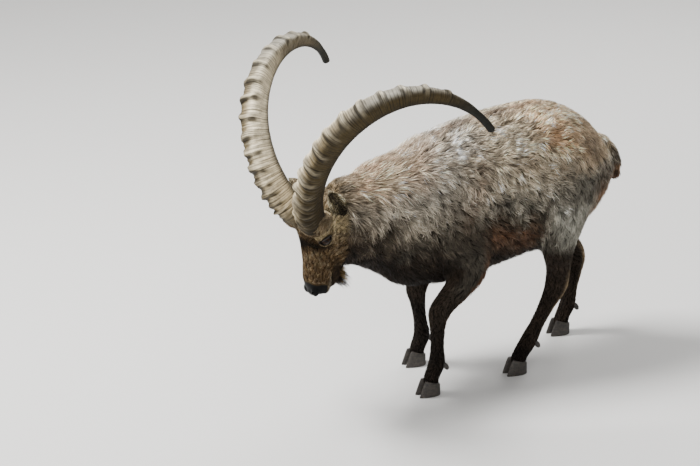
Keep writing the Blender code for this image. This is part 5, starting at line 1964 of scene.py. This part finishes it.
def horn_finish():
    material, tree, shader, colour = painted("horn", 0.55)
    way = tree.nodes.new("ShaderNodeUVMap")
    way.uv_map = "HornWay"
    places = object_places(tree)
    fibres = noise(tree, stretched(tree, way.outputs["UV"], (900, 40, 1)), 1.0, 4.0)
    rings = noise(tree, stretched(tree, way.outputs["UV"], (14, 520, 1)), 1.0, 3.0)
    stains = noise(tree, places, 34.0, 5.0, 0.7)
    tone = scaled(tree, colour.outputs["Color"], ranged(tree, fibres, 0.3, 0.7, 0.88, 1.10))
    tone = scaled(tree, tone, ranged(tree, rings, 0.32, 0.62, 0.72, 1.12))
    tone = scaled(tree, tone, ranged(tree, stains, 0.3, 0.7, 0.62, 1.25))
    tree.links.new(tone, shader.inputs["Base Color"])
    tree.links.new(ranged(tree, stains, 0.3, 0.7, 0.60, 0.85), shader.inputs["Roughness"])
    bumped(tree, shader, rings, 0.60, 0.0015)
    shader.inputs["Specular IOR Level"].default_value = 0.12
    return material


def hoof_finish():
    material, shader = plain_material("hoof", (0.04, 0.034, 0.030), 0.5)
    tree = material.node_tree
    places = object_places(tree)
    rings = noise(tree, stretched(tree, places, (12, 12, 330)), 1.0, 3.0)
    scuffs = noise(tree, places, 120.0, 5.0, 0.7)
    ramp = tree.nodes.new("ShaderNodeValToRGB")
    ramp.color_ramp.elements[0].position = 0.35
    ramp.color_ramp.elements[0].color = (0.012, 0.010, 0.009, 1)
    ramp.color_ramp.elements[1].position = 0.75
    ramp.color_ramp.elements[1].color = (0.070, 0.058, 0.046, 1)
    tree.links.new(scuffs, ramp.inputs["Fac"])
    tone = scaled(tree, ramp.outputs["Color"], ranged(tree, rings, 0.35, 0.65, 0.75, 1.2))
    tree.links.new(tone, shader.inputs["Base Color"])
    tree.links.new(ranged(tree, scuffs, 0.3, 0.7, 0.40, 0.68), shader.inputs["Roughness"])
    bumped(tree, shader, rings, 0.5, 0.0008)
    return material


def eye_finish():
    material, tree, shader, colour = painted("eye", 0.30)
    grain = noise(tree, object_places(tree), 900.0, 2.0)
    tone = scaled(tree, colour.outputs["Color"], ranged(tree, grain, 0.3, 0.7, 0.9, 1.1))
    tree.links.new(tone, shader.inputs["Base Color"])
    shader.inputs["Specular IOR Level"].default_value = 0.08
    shader.inputs["Coat Weight"].default_value = 0.06
    shader.inputs["Coat Roughness"].default_value = 0.05
    shader.inputs["Coat IOR"].default_value = 1.38
    return material


def lid_finish():
    material, shader = plain_material("lid", (0.016, 0.012, 0.010), 0.62)
    tree = material.node_tree
    folds = noise(tree, object_places(tree), 520.0, 3.0)
    tone = tree.nodes.new("ShaderNodeValToRGB")
    tone.color_ramp.elements[0].color = (0.010, 0.008, 0.007, 1)
    tone.color_ramp.elements[1].color = (0.034, 0.024, 0.018, 1)
    tree.links.new(folds, tone.inputs["Fac"])
    tree.links.new(tone.outputs["Color"], shader.inputs["Base Color"])
    bumped(tree, shader, folds, 0.8, 0.0008)
    return material


HAIR, SKIN, HORN = hair_finish(), skin_finish(), horn_finish()
HOOF, EYE, LID = hoof_finish(), eye_finish(), lid_finish()

# %% [markdown]
# ## Onto the frame
# Up to here everything stood where it was drawn. Now each piece is moved with the solids, gets its
# finish, rides on the body and takes the place of the solids that it stands for. The whole must
# stay inside the box of the solids.

# %% Hand over


def hand_over(piece, material, slot, *nodes):
    piece.data.transform(Matrix.Translation(SHIFT))
    piece.data.materials.clear()
    piece.data.materials.append(material)
    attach(piece, "root")
    if nodes:
        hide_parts(*nodes)


# A solid named for each part of the coat
FINISH_OF = {
    "trunk": "torso", "neck": "neck", "head": "head", "ears": "ear_left", "tail": "tail",
    "front_legs": "leg_front_left_upper", "rear_legs": "leg_rear_left_upper",
}
FLESH = ["torso", "neck", "head", "tail", "ear_left", "ear_right"]
FLESH += [f"leg_{leg}_{part}" for leg in LEGS for part in ("upper", "lower")]
only(skin)
bpy.ops.object.shade_smooth()
hand_over(skin, SKIN, "torso", *FLESH)
for piece, group in coat:
    hand_over(piece, HAIR, FINISH_OF[group])
hand_over(beard, HAIR, "head")
hand_over(lashes, HAIR, "head")
for side, _ in SIDES:
    hand_over(horns[side], HORN, f"horn_{side}", f"horn_{side}")
    hand_over(eyes[side], EYE, f"eye_{side}", f"eye_{side}")
    hand_over(lids[side], LID, "head")
for node, claw in claws.items():
    hand_over(claw, HOOF, node, node)
for leg, piece in dewclaws.items():
    hand_over(piece, HOOF, f"claw_{leg}_outer")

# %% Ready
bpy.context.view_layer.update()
print("ready", after())
